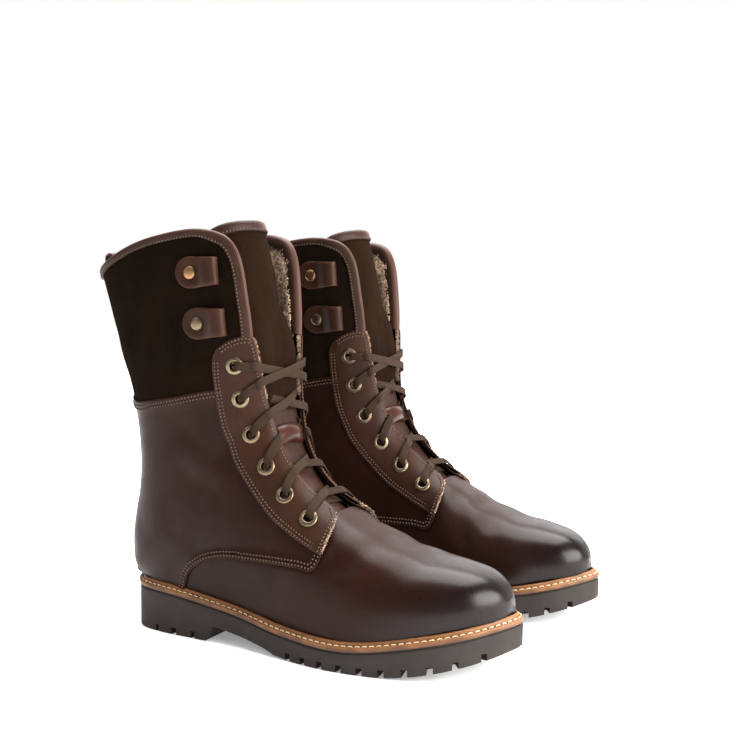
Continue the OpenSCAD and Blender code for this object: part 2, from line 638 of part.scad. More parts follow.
// the loose end: from the top eyelet round the tongue's edge, down inside the shaft
// and back along the footbed to the heel; points for the inner (+Y) side
tail_route = [[100, 27, 197], [91, 29, 194], [82, 29, 187], [76, 25, 174], [75, 18, 152],
              [78, 13, 126], [82, 12, 98], [84, 13, 70], [82, 15, 50], [74, 16, 41.5],
              [60, 16, 41.5], [42, 14, 43.5], [26, 9, 44.5], [20, 2.5, 44.8]];
module lace_tail(side) {
    route = [for (p = tail_route) [[p[0], side * p[1], p[2]], [0.2, 1, 0.2]]];
    color(lace_brown) ribbon(route, lace_width, lace_thickness, 20);
}

module aglets() {
    last = len(tail_route) - 1;
    color(antique_brass) for (side = [-1, 1])
        let (p = tail_route[last], q = tail_route[last - 1], run = unit(p - q))
        mirror([0, side < 0 ? 1 : 0, 0])
            set_at(p + run * 0.1, run, [0, 0, 1]) cylinder(d = aglet_d, h = aglet_length);
}

// ---- the pair -----------------------------------------------------------------------------------

module place(boot) {
    translate(-pair_centre)
        if (boot == "right") children();
        else translate([pair_lead + 150, pair_gap, 0]) rotate([0, 0, pair_toe_in])
            mirror([0, 1, 0]) translate([-150, 0, 0]) children();
}

for (boot = boots) place(boot) {
    outsole();
    welt();
    insole_board();
    footbed();
    vamp();
    quarter(-1);
    quarter(1);
    cuff(-1);
    cuff(1);
    back_strap();
    eyestay(-1);
    eyestay(1);
    eyelet_row(-1);
    eyelet_row(1);
    lace_loop(0, -1);
    lace_loop(1, -1);
    lace_loop(0, 1);
    lace_loop(1, 1);
    rivet_row();
    tongue_lower();
    tongue_upper();
    tongue_binding();
    tongue_keeper();
    collar_binding();
    pull_loop();
    lining();
    lace();
    lace_tail(-1);
    lace_tail(1);
    aglets();
}
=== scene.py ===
"""The looks of a pair of lace-up insulated hunting boots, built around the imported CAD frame.

Every piece is worked out once, for the right boot, in that boot's own millimetres, and then made
twice: the left boot is its mirror image. A boot's own frame has its heel at x = 0, its toe at
x = 300, its sole on z = 0 and its outer side toward -Y. Leather pieces lie on one curved skin,
skin(t, u), and the tongue on a second one, tongue(t, v), as in part.scad.
"""
import json
import math

import bmesh
import bpy
import numpy as np
from mathutils import Matrix, Vector


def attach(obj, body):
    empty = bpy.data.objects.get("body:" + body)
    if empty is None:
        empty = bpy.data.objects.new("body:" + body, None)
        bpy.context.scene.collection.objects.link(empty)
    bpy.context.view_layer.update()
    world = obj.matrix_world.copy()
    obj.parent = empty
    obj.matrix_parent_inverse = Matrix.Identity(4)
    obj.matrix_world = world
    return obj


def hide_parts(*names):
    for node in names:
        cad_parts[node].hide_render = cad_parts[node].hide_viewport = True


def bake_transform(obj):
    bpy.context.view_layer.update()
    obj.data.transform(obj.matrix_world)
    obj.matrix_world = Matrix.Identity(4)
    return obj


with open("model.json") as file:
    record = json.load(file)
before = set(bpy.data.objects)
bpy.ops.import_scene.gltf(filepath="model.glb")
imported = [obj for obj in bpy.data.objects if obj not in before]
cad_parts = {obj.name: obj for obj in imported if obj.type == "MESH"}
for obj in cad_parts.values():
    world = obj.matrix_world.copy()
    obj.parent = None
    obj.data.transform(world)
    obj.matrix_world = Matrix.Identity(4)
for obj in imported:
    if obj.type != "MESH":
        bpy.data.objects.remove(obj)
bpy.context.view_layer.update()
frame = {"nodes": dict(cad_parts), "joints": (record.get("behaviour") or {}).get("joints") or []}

BOOTS = ("right", "left")
JOINTS = {joint["name"]: joint for joint in frame["joints"]}
MM = 0.001
rng = np.random.default_rng(7)

# ---- the boot's design, as in part.scad: millimetres in a boot's own frame ------------------------

TONGUE_PIVOT = np.array([116.0, 0.0, 220.0])
# one row per section: the sole or back point x, z, then the top or front point x, z
PROFILE = [
    [294, 36, 294.2, 42], [292, 35, 292.5, 49], [287, 34, 287, 57], [277, 32, 276, 64.3],
    [262, 28.8, 259, 68.3], [243, 25.2, 238, 71.5], [220, 20.9, 212, 79], [192, 18.7, 187, 91.5],
    [163, 19.5, 166, 105], [133, 22, 150, 119], [100, 27.2, 139, 133], [65, 32, 132, 147],
    [30, 35, 128, 160], [9, 36, 126, 171], [0, 41, 125, 181], [-1.5, 58, 124.5, 192],
    [2.5, 82, 124, 204], [7.5, 108, 123.5, 217], [8.5, 133, 122.5, 230], [5, 163, 121, 243],
    [-2.5, 192, 119, 257], [-10.5, 222, 116.5, 271], [-19, 250, 113.5, 285],
    [-25, 269, 111, 296], [-31, 288, 108.5, 307]]
# half-widths of the sections: at the sole or back seam, and at the widest
WIDTHS = [
    [0.5, 0.6], [8, 9], [17, 18.5], [26, 28], [34, 36], [41, 43], [44.5, 46.5], [44, 46],
    [39, 42.5], [33.5, 38.5], [30, 36.5], [30, 36.5], [28.5, 37], [18, 37.5], [7, 38],
    [0.3, 38.5], [0.3, 39], [0.3, 40], [0.3, 41.5], [0.3, 43], [0.3, 44.5], [0.3, 46],
    [0.3, 47], [0.3, 47.5], [0.3, 48]]
SWING = [5.5, 4.5, 3.5, 2, 0.5, -0.5, -2, -4.5, -6, -6, -4.5, -2.5, -1] + [0] * 12
# every fourth section: height of the widest point, front roundness, back roundness
ROUNDNESS = [[0.30, 0.58, 0.6], [0.28, 0.65, 0.6], [0.26, 0.62, 0.6], [0.42, 0.45, 0.6],
             [0.50, 0.33, 0.6], [0.50, 0.23, 0.54], [0.50, 0.22, 0.52]]
# every fourth section from t = 6: depth, half-width and edge curl of the tongue
TONGUE_SHAPE = [[7, 20, 7], [7.2, 22, 10], [7.6, 23.5, 14], [9.5, 28, 20], [10.5, 31, 25], [11, 31, 26]]
TONGUE_FIRST = 6
TONGUE_START = 6.6
TONGUE_SEAM = 13.6
TONGUE_TOP = 23.25
TONGUE_CROWN = 0.6
TONGUE_ARC = math.radians(80)
# edge of the sole in plan: x, then y on the outer side and y on the inner side
SOLE_EDGE = [
    [0, -3, 3], [2, -11, 11], [6.5, -19.5, 19.5], [18, -30.5, 29.5], [40, -35.8, 34.5],
    [70, -37.9, 33], [105, -39.8, 29.5], [145, -47.6, 33], [185, -53.4, 43.5],
    [220, -51.2, 48.5], [250, -44.8, 45.5], [275, -32.5, 36], [291, -15.5, 22.5],
    [298, -3, 13], [300, 3, 8]]
SOLE_TOP = [31.5, 29.5, 23.2, 16.2, 14.6, 22.6, 32.5]
TREAD_LINE = [1.5, 0, 0, 0, 0.2, 2.2, 6, 11, 16.5]
TREAD_START = 140
HEEL_LENGTH = 80
ARCH_HEIGHT = 11
WELT_HEIGHT = 3.7
WELT_WIDTH = 9
# edges on the skin, as [t, |u|] points
VAMP_SEAM = [[7.38, 0.10], [7.34, 0.2], [7.42, 0.29], [7.66, 0.37], [8.2, 0.395], [8.7, 0.42],
             [9.2, 0.447], [9.65, 0.475], [10.02, 0.5], [10.3, 0.541], [10.65, 0.605], [11, 0.685],
             [11.2, 0.77], [11.26, 0.85], [11.22, 0.94], [11.2, 1]]
THROAT_EDGE = [[7.38, 0.10], [7.82, 0.062], [8.4, 0.062], [9.46, 0.072], [11.26, 0.08],
               [14, 0.105], [15.9, 0.13]]
CUFF_SEAM = [[15.9, 0.13], [15.9, 0.22], [16.2, 0.31], [16.79, 0.38], [17.35, 0.455], [17.8, 0.524],
             [18.19, 0.597], [18.54, 0.684], [18.8, 0.776], [19.15, 0.89], [19.35, 1]]
CUFF_FRONT = [[15.95, 0.13], [17.56, 0.155], [18.4, 0.152], [19.24, 0.147], [20.68, 0.136],
              [21.42, 0.146]]
TOPLINE = [[21.42, 0.146], [22, 0.176], [22.48, 0.226], [22.86, 0.292], [23.05, 0.358],
           [23.12, 0.453], [23.08, 0.552], [22.86, 0.68], [22.66, 0.785], [22.5, 0.9], [22.45, 1]]
EYESTAY_FRONT = [[7.72, 0.056], [8.4, 0.055], [9.46, 0.066], [11.26, 0.075], [14, 0.10],
                 [16.8, 0.132], [17.4, 0.15]]
EYESTAY_BACK = [[7.44, 0.297], [8.68, 0.307], [9.48, 0.315], [10.62, 0.312], [12.04, 0.305],
                [13.4, 0.303], [15.3, 0.335], [16.92, 0.365], [17.88, 0.365], [18.2, 0.335]]
EYESTAY_FOOT = [[7.72, 0.056], [7.44, 0.09], [7.34, 0.15], [7.36, 0.22], [7.44, 0.297]]
EYESTAY_HEAD = [[17.4, 0.15], [17.8, 0.21], [18.1, 0.28], [18.2, 0.335]]
LINING_FRONT = [[7.6, 0.31], [10, 0.33], [13, 0.33], [15.6, 0.36], [16.9, 0.37], [17.5, 0.24],
                [18.1, 0.175], [19.24, 0.162], [20.68, 0.15], [21.3, 0.16]]
EYELETS = [[16.8, 0.262], [14.96, 0.234], [12.36, 0.208], [10.62, 0.205], [9.28, 0.2], [8.12, 0.192]]
LOOP_RIVETS = [[21.25, 0.372], [19.5, 0.392]]
LEATHER = 2.0
OVERLAY_LOW, OVERLAY_HIGH = 0.25, 1.65
LINING_FACE = -6.6
LACE_WIDTH, LACE_THICKNESS = 5.0, 1.4
LACE_PASS, KEEPER_PASS, LACE_STACK = 4.4, 2.7, 0.85
KEEPER_PAIR = 3
KEEPER_SPAN, KEEPER_BAND = 0.45, 0.52
# a lace's loose end: round the tongue's edge, down the shaft and back along the footbed
TAIL_ROUTE = [[100, 27, 197], [91, 29, 194], [82, 29, 187], [76, 25, 174], [75, 18, 152],
              [78, 13, 126], [82, 12, 98], [84, 13, 70], [82, 15, 50], [74, 16, 41.5],
              [60, 16, 41.5], [42, 14, 43.5], [26, 9, 44.5], [20, 2.5, 44.8]]
AGLET_LENGTH, AGLET_RADIUS = 16.0, 1.8


# ---- curves and the two skins -----------------------------------------------------------------------

def unit(v):
    return v / np.maximum(np.linalg.norm(v, axis=-1, keepdims=True), 1e-9)


def along(table, t):
    """Smooth curve through the rows of a table; one step of t per row."""
    rows = np.asarray(table, float)
    last = len(rows) - 1
    t = np.asarray(t, float)
    i = np.clip(np.floor(t).astype(int), 0, last - 1)
    s = (t - i).reshape(t.shape + (1,) * (rows.ndim - 1))
    padded = np.concatenate([[2 * rows[0] - rows[1]], rows, [2 * rows[-1] - rows[-2]]])
    a, b, c, d = padded[i], padded[i + 1], padded[i + 2], padded[i + 3]
    return b + s / 2 * (c - a + s * (2 * a - 5 * b + 4 * c - d + s * (3 * (b - c) + d - a)))


def part_way(table, s):
    return along(table, np.asarray(s, float) * (len(table) - 1))


def skin(t, u):
    t, u = np.broadcast_arrays(np.asarray(t, float), np.asarray(u, float))
    line, width, shape = along(PROFILE, t), along(WIDTHS, t), along(ROUNDNESS, t / 4)
    widest = width[..., 1]
    base = np.clip(width[..., 0], 0, widest * 0.97)
    a = np.abs(u)
    back_turn = np.arccos((base / widest) ** (1 / shape[..., 2]))
    front = a < 0.5
    turn = np.where(front, math.pi / 2 * (1 - 2 * a), (2 * a - 1) * back_turn)
    rise = np.where(front, shape[..., 0] + (1 - shape[..., 0]) * np.sin(turn),
                    shape[..., 0] - shape[..., 0] * np.sin(turn) / np.sin(back_turn))
    y = widest * np.maximum(np.cos(turn), 0) ** np.where(front, shape[..., 1], shape[..., 2])
    x = line[..., 0] + (line[..., 2] - line[..., 0]) * rise
    z = line[..., 1] + (line[..., 3] - line[..., 1]) * rise
    return np.stack([x, along(SWING, t) + np.sign(u) * y, z], -1)


def tongue(t, v):
    t, v = np.broadcast_arrays(np.asarray(t, float), np.asarray(v, float))
    line, shape = along(PROFILE, t), along(TONGUE_SHAPE, (t - TONGUE_FIRST) / 4)
    inward = unit(line[..., :2] - line[..., 2:])
    turn = v * TONGUE_ARC
    depth = shape[..., 0] + shape[..., 2] * (1 - np.cos(turn)) / (1 - math.cos(TONGUE_ARC))
    q = line[..., 2:] + inward * depth[..., None]
    y = along(SWING, t) + shape[..., 1] * np.sin(turn) / math.sin(TONGUE_ARC)
    return np.stack([q[..., 0], y, q[..., 1]], -1)


def outward(sheet, t, u):
    du = 0.008 if sheet is skin else 0.05
    t = np.asarray(t, float)
    across = sheet(t, np.minimum(1, u + du)) - sheet(t, np.maximum(-1, u - du))
    return unit(np.cross(across, sheet(t + 0.06, u) - sheet(t - 0.06, u)))


def segment_distance(p, a, b):
    run = np.subtract(b, a)
    s = np.clip((p - a) @ run / (run @ run), 0, 1)
    return np.linalg.norm(p - (a + s[..., None] * run), axis=-1)


# soft creases of the worn-in leather: both ends as (t, u), half-width and depth in millimetres
CREASES = [
    ((6.75, -0.30), (6.2, 0.05), 6, 0.9), ((6.2, -0.12), (5.7, 0.20), 7, 0.8),
    ((6.9, 0.10), (6.4, 0.34), 6, 0.8), ((5.2, -0.22), (5.0, 0.02), 8, 0.5),
    ((12.2, -0.42), (11.6, -0.62), 9, 0.8), ((13.9, -0.46), (12.7, -0.60), 8, 0.8),
    ((14.8, -0.50), (15.2, -0.74), 10, 0.8), ((12.4, 0.44), (11.8, 0.60), 9, 0.8),
    ((14.2, 0.46), (13.0, 0.62), 8, 0.8), ((16.9, -0.55), (16.2, -0.80), 11, 0.7),
    ((20.4, -0.55), (19.4, -0.80), 12, 0.8), ((21.6, 0.5), (20.2, 0.7), 12, 0.8)]
CREASE_LINES = [(skin(*a), skin(*b), width, depth) for a, b, width, depth in CREASES]


def relief(p):
    """How far the soft leather stands off the skin, in millimetres."""
    x, y, z = p[..., 0], p[..., 1], p[..., 2]
    wave = (0.22 * np.sin(x / 21 + 1.3) * np.sin(y / 17 + 0.7 + z / 40) * np.sin(z / 25 + 2.1)
            + 0.06 * np.sin(x / 9 + z / 13) * np.sin(z / 11 - y / 12 + 0.4))
    for a, b, width, depth in CREASE_LINES:
        d = segment_distance(p, a, b) / width
        wave = wave - depth * np.exp(-d ** 2) + 0.45 * depth * np.exp(-(d - 1.7) ** 2)
    return wave


def raised(sheet, t, u, offset):
    """A point at a height above the skin, with the leather's relief, or above the tongue."""
    p = sheet(t, u)
    height = np.asarray(offset, float)
    if sheet is skin:
        height = height + relief(p)
    return p + (height * np.ones(p.shape[:-1]))[..., None] * outward(sheet, t, u)


def shifted(sheet, t, u, direction, distance):
    """The (t, u) reached by going a distance in millimetres along a direction on the sheet."""
    t, u = np.array(t, float), np.array(u, float)
    steps = 8
    step = (np.asarray(distance, float) * np.ones(t.shape) / steps)[..., None] * direction
    for _ in range(steps):
        pt = (sheet(t + 0.02, u) - sheet(t - 0.02, u)) / 0.04
        pu = (sheet(t, u + 0.002) - sheet(t, u - 0.002)) / 0.004
        tt, tu, uu = (pt * pt).sum(-1), (pt * pu).sum(-1), (pu * pu).sum(-1)
        st, su = (pt * step).sum(-1), (pu * step).sum(-1)
        det = tt * uu - tu * tu
        t, u = t + (uu * st - tu * su) / det, u + (tt * su - tu * st) / det
    return t, u


def inset_line(sheet, route, side, distance, inward, count=160):
    """A route on the sheet moved sideways by a distance; inward is a (t, u) inside the piece."""
    s = np.linspace(0, 1, count)
    at = part_way(route, s)
    t, u = at[:, 0], side * at[:, 1]
    p, n = sheet(t, u), outward(sheet, t, u)
    across = np.cross(n, np.gradient(p, axis=0))
    around = np.clip(np.arange(count)[:, None] + np.arange(-6, 7), 0, count - 1)
    across = unit(unit(across)[around].mean(1))
    middle = sheet(inward[0], side * inward[1])
    flip = np.sign(((middle - p[count // 2]) * across[count // 2]).sum())
    return shifted(sheet, t, u, flip * across, distance)


# ---- meshes ------------------------------------------------------------------------------------------

class Shape:
    """Points, faces and point attributes of a mesh in a boot's own millimetres."""

    def __init__(self):
        self.points, self.faces, self.marks, self.size = [], [], {}, 0

    def add(self, points, faces, **marks):
        points = np.asarray(points, float).reshape(-1, 3)
        for name in set(marks) | set(self.marks):
            values = marks.get(name, 0.0)
            earlier = self.marks.setdefault(name, [np.zeros(self.size)] if self.size else [])
            earlier.append(np.broadcast_to(np.asarray(values, float).reshape(-1)
                                           if np.ndim(values) else values, (len(points),)))
        self.faces += [tuple(int(i) + self.size for i in face) for face in faces]
        self.points.append(points)
        self.size += len(points)
        return self

    def volume(self):
        p = np.concatenate(self.points)
        total = 0.0
        for face in self.faces:
            for j in range(1, len(face) - 1):
                total += p[face[0]] @ np.cross(p[face[j]], p[face[j + 1]])
        return total


def place(points, boot):
    """Points of a boot's own frame in the row frame, in metres, from its tongue's hinge."""
    joint = JOINTS[f"{boot}_tongue_tip"]
    hinge, across = np.array(joint["pos_m"]) / MM, np.array(joint["axis"])
    ahead = np.array([across[1], -across[0], 0.0])
    side = 1 if boot == "right" else -1
    d = np.asarray(points, float) - TONGUE_PIVOT
    up = np.array([0.0, 0.0, 1.0])
    return (hinge + d[..., 0:1] * ahead + side * d[..., 1:2] * across + d[..., 2:3] * up) * MM


def make(name, shape, material, body="boot", stands_for=(), smooth=45.0, edit=None):
    """One object per boot from a shape; it rides on the boot's body and replaces CAD nodes."""
    points = np.concatenate(shape.points)
    outside_in = shape.volume() < 0
    made = []
    for boot in BOOTS:
        mesh = bpy.data.meshes.new(f"{boot}_{name}")
        turn = outside_in != (boot == "left")
        faces = [face[::-1] if turn else face for face in shape.faces]
        mesh.from_pydata(place(points, boot).tolist(), [], faces)
        for mark, values in shape.marks.items():
            mesh.attributes.new(mark, "FLOAT", "POINT").data.foreach_set(
                "value", np.concatenate(values).astype(np.float32))
        mesh.update()
        mesh.shade_smooth()
        mesh.set_sharp_from_angle(angle=math.radians(smooth))
        mesh.materials.append(material)
        obj = bpy.data.objects.new(f"{boot}_{name}", mesh)
        bpy.context.scene.collection.objects.link(obj)
        if edit:
            edit(obj, boot)
        if isinstance(body, str):
            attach(obj, f"{boot}_{body}")
        if stands_for:
            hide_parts(*[f"{boot}_{node}" for node in stands_for])
        made.append(obj)
    return made


def grid_faces(rows, cols, start=0, wrap=False):
    faces = []
    for i in range(rows - 1):
        for j in range(cols if wrap else cols - 1):
            k = (j + 1) % cols
            faces.append((start + i * cols + j, start + i * cols + k,
                          start + (i + 1) * cols + k, start + (i + 1) * cols + j))
    return faces


def slab(shape, outer, inner, **marks):
    """A closed solid between two grids of points."""
    rows, cols = outer.shape[:2]
    size = rows * cols
    faces = grid_faces(rows, cols)
    faces += [tuple(size + i for i in face[::-1]) for face in faces]
    rim = ([(0, j) for j in range(cols)] + [(i, cols - 1) for i in range(1, rows)]
           + [(rows - 1, j) for j in range(cols - 2, -1, -1)] + [(i, 0) for i in range(rows - 2, 0, -1)])
    loop = [i * cols + j for i, j in rim]
    faces += [(b, a, a + size, b + size) for a, b in zip(loop, loop[1:] + loop[:1])]
    both = {name: np.concatenate([np.ravel(v)] * 2) for name, v in marks.items()}
    return shape.add(np.concatenate([outer.reshape(-1, 3), inner.reshape(-1, 3)]), faces, **both)


def tube(shape, rings, closed=False, **marks):
    """A closed solid through rings of points, capped at its ends or joined into a loop."""
    rings = np.asarray(rings, float)
    count, n = rings.shape[:2]
    faces = grid_faces(count, n, wrap=True)
    if closed:
        last = (count - 1) * n
        faces += [(last + j, last + (j + 1) % n, (j + 1) % n, j) for j in range(n)]
    else:
        faces += [tuple(range(n - 1, -1, -1)), tuple((count - 1) * n + j for j in range(n))]
    return shape.add(rings.reshape(-1, 3), faces, **marks)


def revolve(shape, profile, frames, segments=40, **marks):
    """Turned pieces: a closed profile of (radius, height) round the z axis of each frame."""
    turn = np.linspace(0, 2 * math.pi, segments, endpoint=False)
    for origin, x, y, n in frames:
        rings = [[origin + r * (math.cos(a) * x + math.sin(a) * y) + h * n for r, h in profile]
                 for a in turn]
        tube(shape, rings, closed=True, **marks)
    return shape


# distances from a cut edge at which a leather panel is sampled, so that the edge is round
RIM = [0.0, 0.1, 0.3, 0.65, 1.1]


def rim_samples(length, cell, rims=(True, True)):
    count = max(2, int(round((length - 2 * RIM[-1]) / cell)))
    middle = np.linspace(RIM[-1], length - RIM[-1], count + 1)
    first = RIM[:-1] if rims[0] else [0.0]
    final = RIM[:-1] if rims[1] else [0.0]
    return np.concatenate([first, middle, length - np.array(final[::-1])]) / length


def patch(front, back, bottom, top, a, b):
    """(t, u) inside four edges: a runs front to back, b runs bottom to top."""
    corners = [np.array(bottom[0]), np.array(bottom[-1]), np.array(top[0]), np.array(top[-1])]
    a, b = a[..., None], b[..., None]
    return ((1 - b) * part_way(bottom, a[..., 0]) + b * part_way(top, a[..., 0])
            + (1 - a) * part_way(front, b[..., 0]) + a * part_way(back, b[..., 0])
            - (1 - a) * (1 - b) * corners[0] - a * (1 - b) * corners[1]
            - (1 - a) * b * corners[2] - a * b * corners[3])


def panel(shape, edges, side, low, high, cell=2.0, lift=None, sheet=skin, cut=(0, 1, 2, 3)):
    """A leather piece with round edges between four edges on one side of the boot.

    lift(t, u, distances) adds to the height; distances are those to the front, back, bottom
    and top edges in millimetres; cut lists the edges that are seen and so are round."""
    rough = np.linspace(0, 1, 17)
    a, b = np.meshgrid(rough, rough)
    at = patch(*edges, a, b)
    p = sheet(at[..., 0], side * at[..., 1])
    width = np.linalg.norm(np.diff(p, axis=1), axis=-1).sum(1).mean()
    height = np.linalg.norm(np.diff(p, axis=0), axis=-1).sum(0).mean()
    a, b = np.meshgrid(rim_samples(width, cell), rim_samples(height, cell))
    at = patch(*edges, a, b)
    t, u = at[..., 0], side * at[..., 1]
    p = sheet(t, u)
    across = np.pad(np.linalg.norm(np.diff(p, axis=1), axis=-1), ((0, 0), (1, 0))).cumsum(1)
    upward = np.pad(np.linalg.norm(np.diff(p, axis=0), axis=-1), ((1, 0), (0, 0))).cumsum(0)
    distances = (across, across[:, -1:] - across, upward, upward[-1:] - upward)
    nearest = np.minimum.reduce([distances[k] for k in cut])
    radius = 0.46 * (high - low)
    inside = np.clip(1 - nearest / (1.6 * radius), 0, 1)
    rounding = radius * (1 - np.sqrt(1 - inside ** 2))
    extra = lift(t, u, distances) if lift else 0.0
    slab(shape, raised(sheet, t, u, high - rounding + extra),
         raised(sheet, t, u, low + rounding + extra), edge=np.exp(-nearest / 0.9), toe=toe_mark(p))
    return shape


def toe_mark(p):
    """1 on the burnished toe, 0 on the rest of the boot."""
    return np.clip((p[..., 0] - 205 - 0.5 * (p[..., 2] - 40)) / 62, 0, 1)


def ease(d, width):
    """1 at an edge, falling smoothly to 0 at a distance of width."""
    s = np.clip(1 - d / width, 0, 1)
    return s * s * (3 - 2 * s)


def frame_at(origin, n, ahead):
    x = unit(ahead - (ahead @ n) * n)
    return origin, x, np.cross(n, x), n


# ---- stitches ------------------------------------------------------------------------------------------

STITCH_SIDES = 6


def stitch_row(shape, sheet, line, height, pitch=2.7, length=1.6, radius=0.56, sink=0.2):
    """Thread stitches along a line of (t, u) at a height above the sheet."""
    t, u = line
    p, n = raised(sheet, t, u, height), outward(sheet, t, u)
    stitches_on(shape, p, n, pitch, length, radius, sink)
    return shape


def stitches_on(shape, p, n, pitch, length, radius, sink):
    s = np.concatenate([[0], np.linalg.norm(np.diff(p, axis=0), axis=1).cumsum()])
    count = int(s[-1] / pitch)
    if count < 1:
        return
    start = (s[-1] - count * pitch) / 2 + pitch / 2
    centre = start + pitch * np.arange(count)
    along_stitch = np.array([-0.5, -0.38, -0.15, 0.15, 0.38, 0.5]) * length
    bow = np.array([-0.75, 0.15, 0.55, 0.55, 0.15, -0.75]) * radius
    thick = np.array([0.35, 0.85, 1.0, 1.0, 0.85, 0.35]) * radius
    spots = centre[:, None] + along_stitch
    at = np.stack([np.interp(spots, s, p[:, k]) for k in range(3)], -1)
    up = unit(np.stack([np.interp(spots, s, n[:, k]) for k in range(3)], -1))
    run = unit(at[:, -1:] - at[:, :1]) * np.ones_like(at)
    side = unit(np.cross(up, run))
    turn = np.arange(STITCH_SIDES) / STITCH_SIDES * 2 * math.pi
    ring = (side[:, :, None] * np.cos(turn)[:, None] + up[:, :, None] * np.sin(turn)[:, None])
    points = (at + up * (bow - sink)[:, None])[:, :, None] + ring * thick[:, None, None]
    for rings in points:
        tube(shape, rings, hole=0.0)
    # flat dark discs between the stitches: painted shade of the needle holes
    gap = centre[:-1] + pitch / 2
    at = np.stack([np.interp(gap, s, p[:, k]) for k in range(3)], -1)
    up = unit(np.stack([np.interp(gap, s, n[:, k]) for k in range(3)], -1))
    for spot, rise, ring_dir in zip(at, up, ring[:-1, 0]):
        flat = unit(ring_dir - (ring_dir @ rise)[:, None] * rise)
        flat = np.array([spot + 1.2 * radius * q for q in flat])
        tube(shape, [flat - 0.1 * rise, flat + 0.14 * rise], hole=1.0)


# ---- materials ---------------------------------------------------------------------------------------------

class Finish:
    """A node-built material; each method adds one thing to it."""

    def __init__(self, name, roughness, **inputs):
        self.material = bpy.data.materials.new(name)
        self.material.use_nodes = True
        self.tree = self.material.node_tree
        self.shader = self.tree.nodes["Principled BSDF"]
        self.shader.inputs["Roughness"].default_value = roughness
        for key, value in inputs.items():
            self.shader.inputs[key.replace("_", " ")].default_value = value
        self.place = self.tree.nodes.new("ShaderNodeTexCoord").outputs["Object"]

    def node(self, kind, links=None, **values):
        made = self.tree.nodes.new(kind)
        for key, value in values.items():
            if hasattr(made, key):
                setattr(made, key, value)
            else:
                made.inputs[key.replace("_", " ")].default_value = value
        for key, source in (links or {}).items():
            self.tree.links.new(source, made.inputs[key])
        return made

    def noise(self, scale, detail=3.0, rough=0.55, stretch=None, distortion=0.0):
        """Noise with so many features per metre; stretch scales the axes."""
        place = self.place
        if stretch:
            place = self.node("ShaderNodeMapping", {"Vector": place}, Scale=stretch).outputs["Vector"]
        return self.node("ShaderNodeTexNoise", {"Vector": place}, Scale=scale, Detail=detail,
                         Roughness=rough, Distortion=distortion).outputs["Fac"]

    def cells(self, scale, feature="F1"):
        made = self.node("ShaderNodeTexVoronoi", {"Vector": self.place}, feature=feature, Scale=scale)
        return made.outputs["Distance"]

    def mark(self, name):
        return self.node("ShaderNodeAttribute", attribute_name=name).outputs["Fac"]

    def ramp(self, value, low, high, start=0.0, end=1.0):
        """A value spread from low to high, between start and end of the source."""
        made = self.node("ShaderNodeMapRange", {"Value": value})
        for key, number in (("From Min", start), ("From Max", end), ("To Min", low), ("To Max", high)):
            made.inputs[key].default_value = number
        return made.outputs["Result"]

    def mix(self, factor, a, b, blend="MIX"):
        """Colours or colour sources mixed by a factor source."""
        made = self.node("ShaderNodeMix", data_type="RGBA", blend_type=blend)
        for key, value in (("Factor", factor), ("A", a), ("B", b)):
            socket = [s for s in made.inputs if s.name == key and s.enabled][0]
            if isinstance(value, (int, float)):
                socket.default_value = value
            elif isinstance(value, (tuple, list)):
                socket.default_value = (*value, 1.0)
            else:
                self.tree.links.new(value, socket)
        return [s for s in made.outputs if s.enabled][0]

    def colour(self, source):
        self.tree.links.new(source, self.shader.inputs["Base Color"])
        return self

    def roughness(self, source):
        self.tree.links.new(source, self.shader.inputs["Roughness"])
        return self

    def sum(self, *terms):
        """Weighted sum of sources: (source, weight) pairs."""
        total = None
        for source, weight in terms:
            scaled = self.node("ShaderNodeMath", {0: source}, operation="MULTIPLY")
            scaled.inputs[1].default_value = weight
            if total is None:
                total = scaled.outputs[0]
            else:
                total = self.node("ShaderNodeMath", {0: total, 1: scaled.outputs[0]},
                                  operation="ADD").outputs[0]
        return total

    def bump(self, height, depth_mm, strength=1.0):
        made = self.node("ShaderNodeBump", {"Height": height}, Strength=strength,
                         Distance=depth_mm * MM)
        self.tree.links.new(made.outputs["Normal"], self.shader.inputs["Normal"])
        return self


def scaled(colour, factor):
    return tuple(min(1.0, c * factor) for c in colour)


def leather(name, colour, roughness=0.42, grain=0.10, toe_colour=None, edge=1.9, tint=(1, 1, 1)):
    """Smooth leather: soft mottling, pores, fine creases, lighter cut edges, a burnished toe."""
    f = Finish(name, roughness, Specular_IOR_Level=0.12, Coat_Weight=0.05, Coat_Roughness=0.26)
    cloud = f.ramp(f.noise(28, 4, 0.6), 0, 1, 0.32, 0.68)
    body = f.mix(cloud, scaled(colour, 0.80), scaled(colour, 1.22))
    speck = f.ramp(f.noise(620, 3, 0.6), 0, 1, 0.38, 0.72)
    body = f.mix(f.ramp(speck, 0, 0.30), body, scaled([c * k for c, k in zip(colour, tint)], 1.7))
    if toe_colour:
        body = f.mix(f.ramp(f.mark("toe"), 0, 0.94), body, toe_colour)
    body = f.mix(f.ramp(f.mark("edge"), 0, 0.75), body, scaled(colour, edge))
    f.colour(body)
    pores = f.cells(900)
    fine = f.noise(1900, 2, 0.6)
    lines = f.noise(150, 5, 0.65, stretch=(1, 1, 0.6))
    f.bump(f.sum((pores, 0.55), (fine, 0.35), (lines, 0.9)), grain)
    uneven = f.ramp(f.noise(70, 3), roughness - 0.05, roughness + 0.07, 0.3, 0.7)
    if toe_colour:
        lower = f.node("ShaderNodeMath", {0: f.mark("toe")}, operation="MULTIPLY")
        lower.inputs[1].default_value = -0.08
        uneven = f.node("ShaderNodeMath", {0: uneven, 1: lower.outputs[0]},
                        operation="ADD").outputs[0]
        f.tree.links.new(f.ramp(f.mark("toe"), 0.05, 0.38), f.shader.inputs["Coat Weight"])
    f.roughness(uneven)
    return f.material


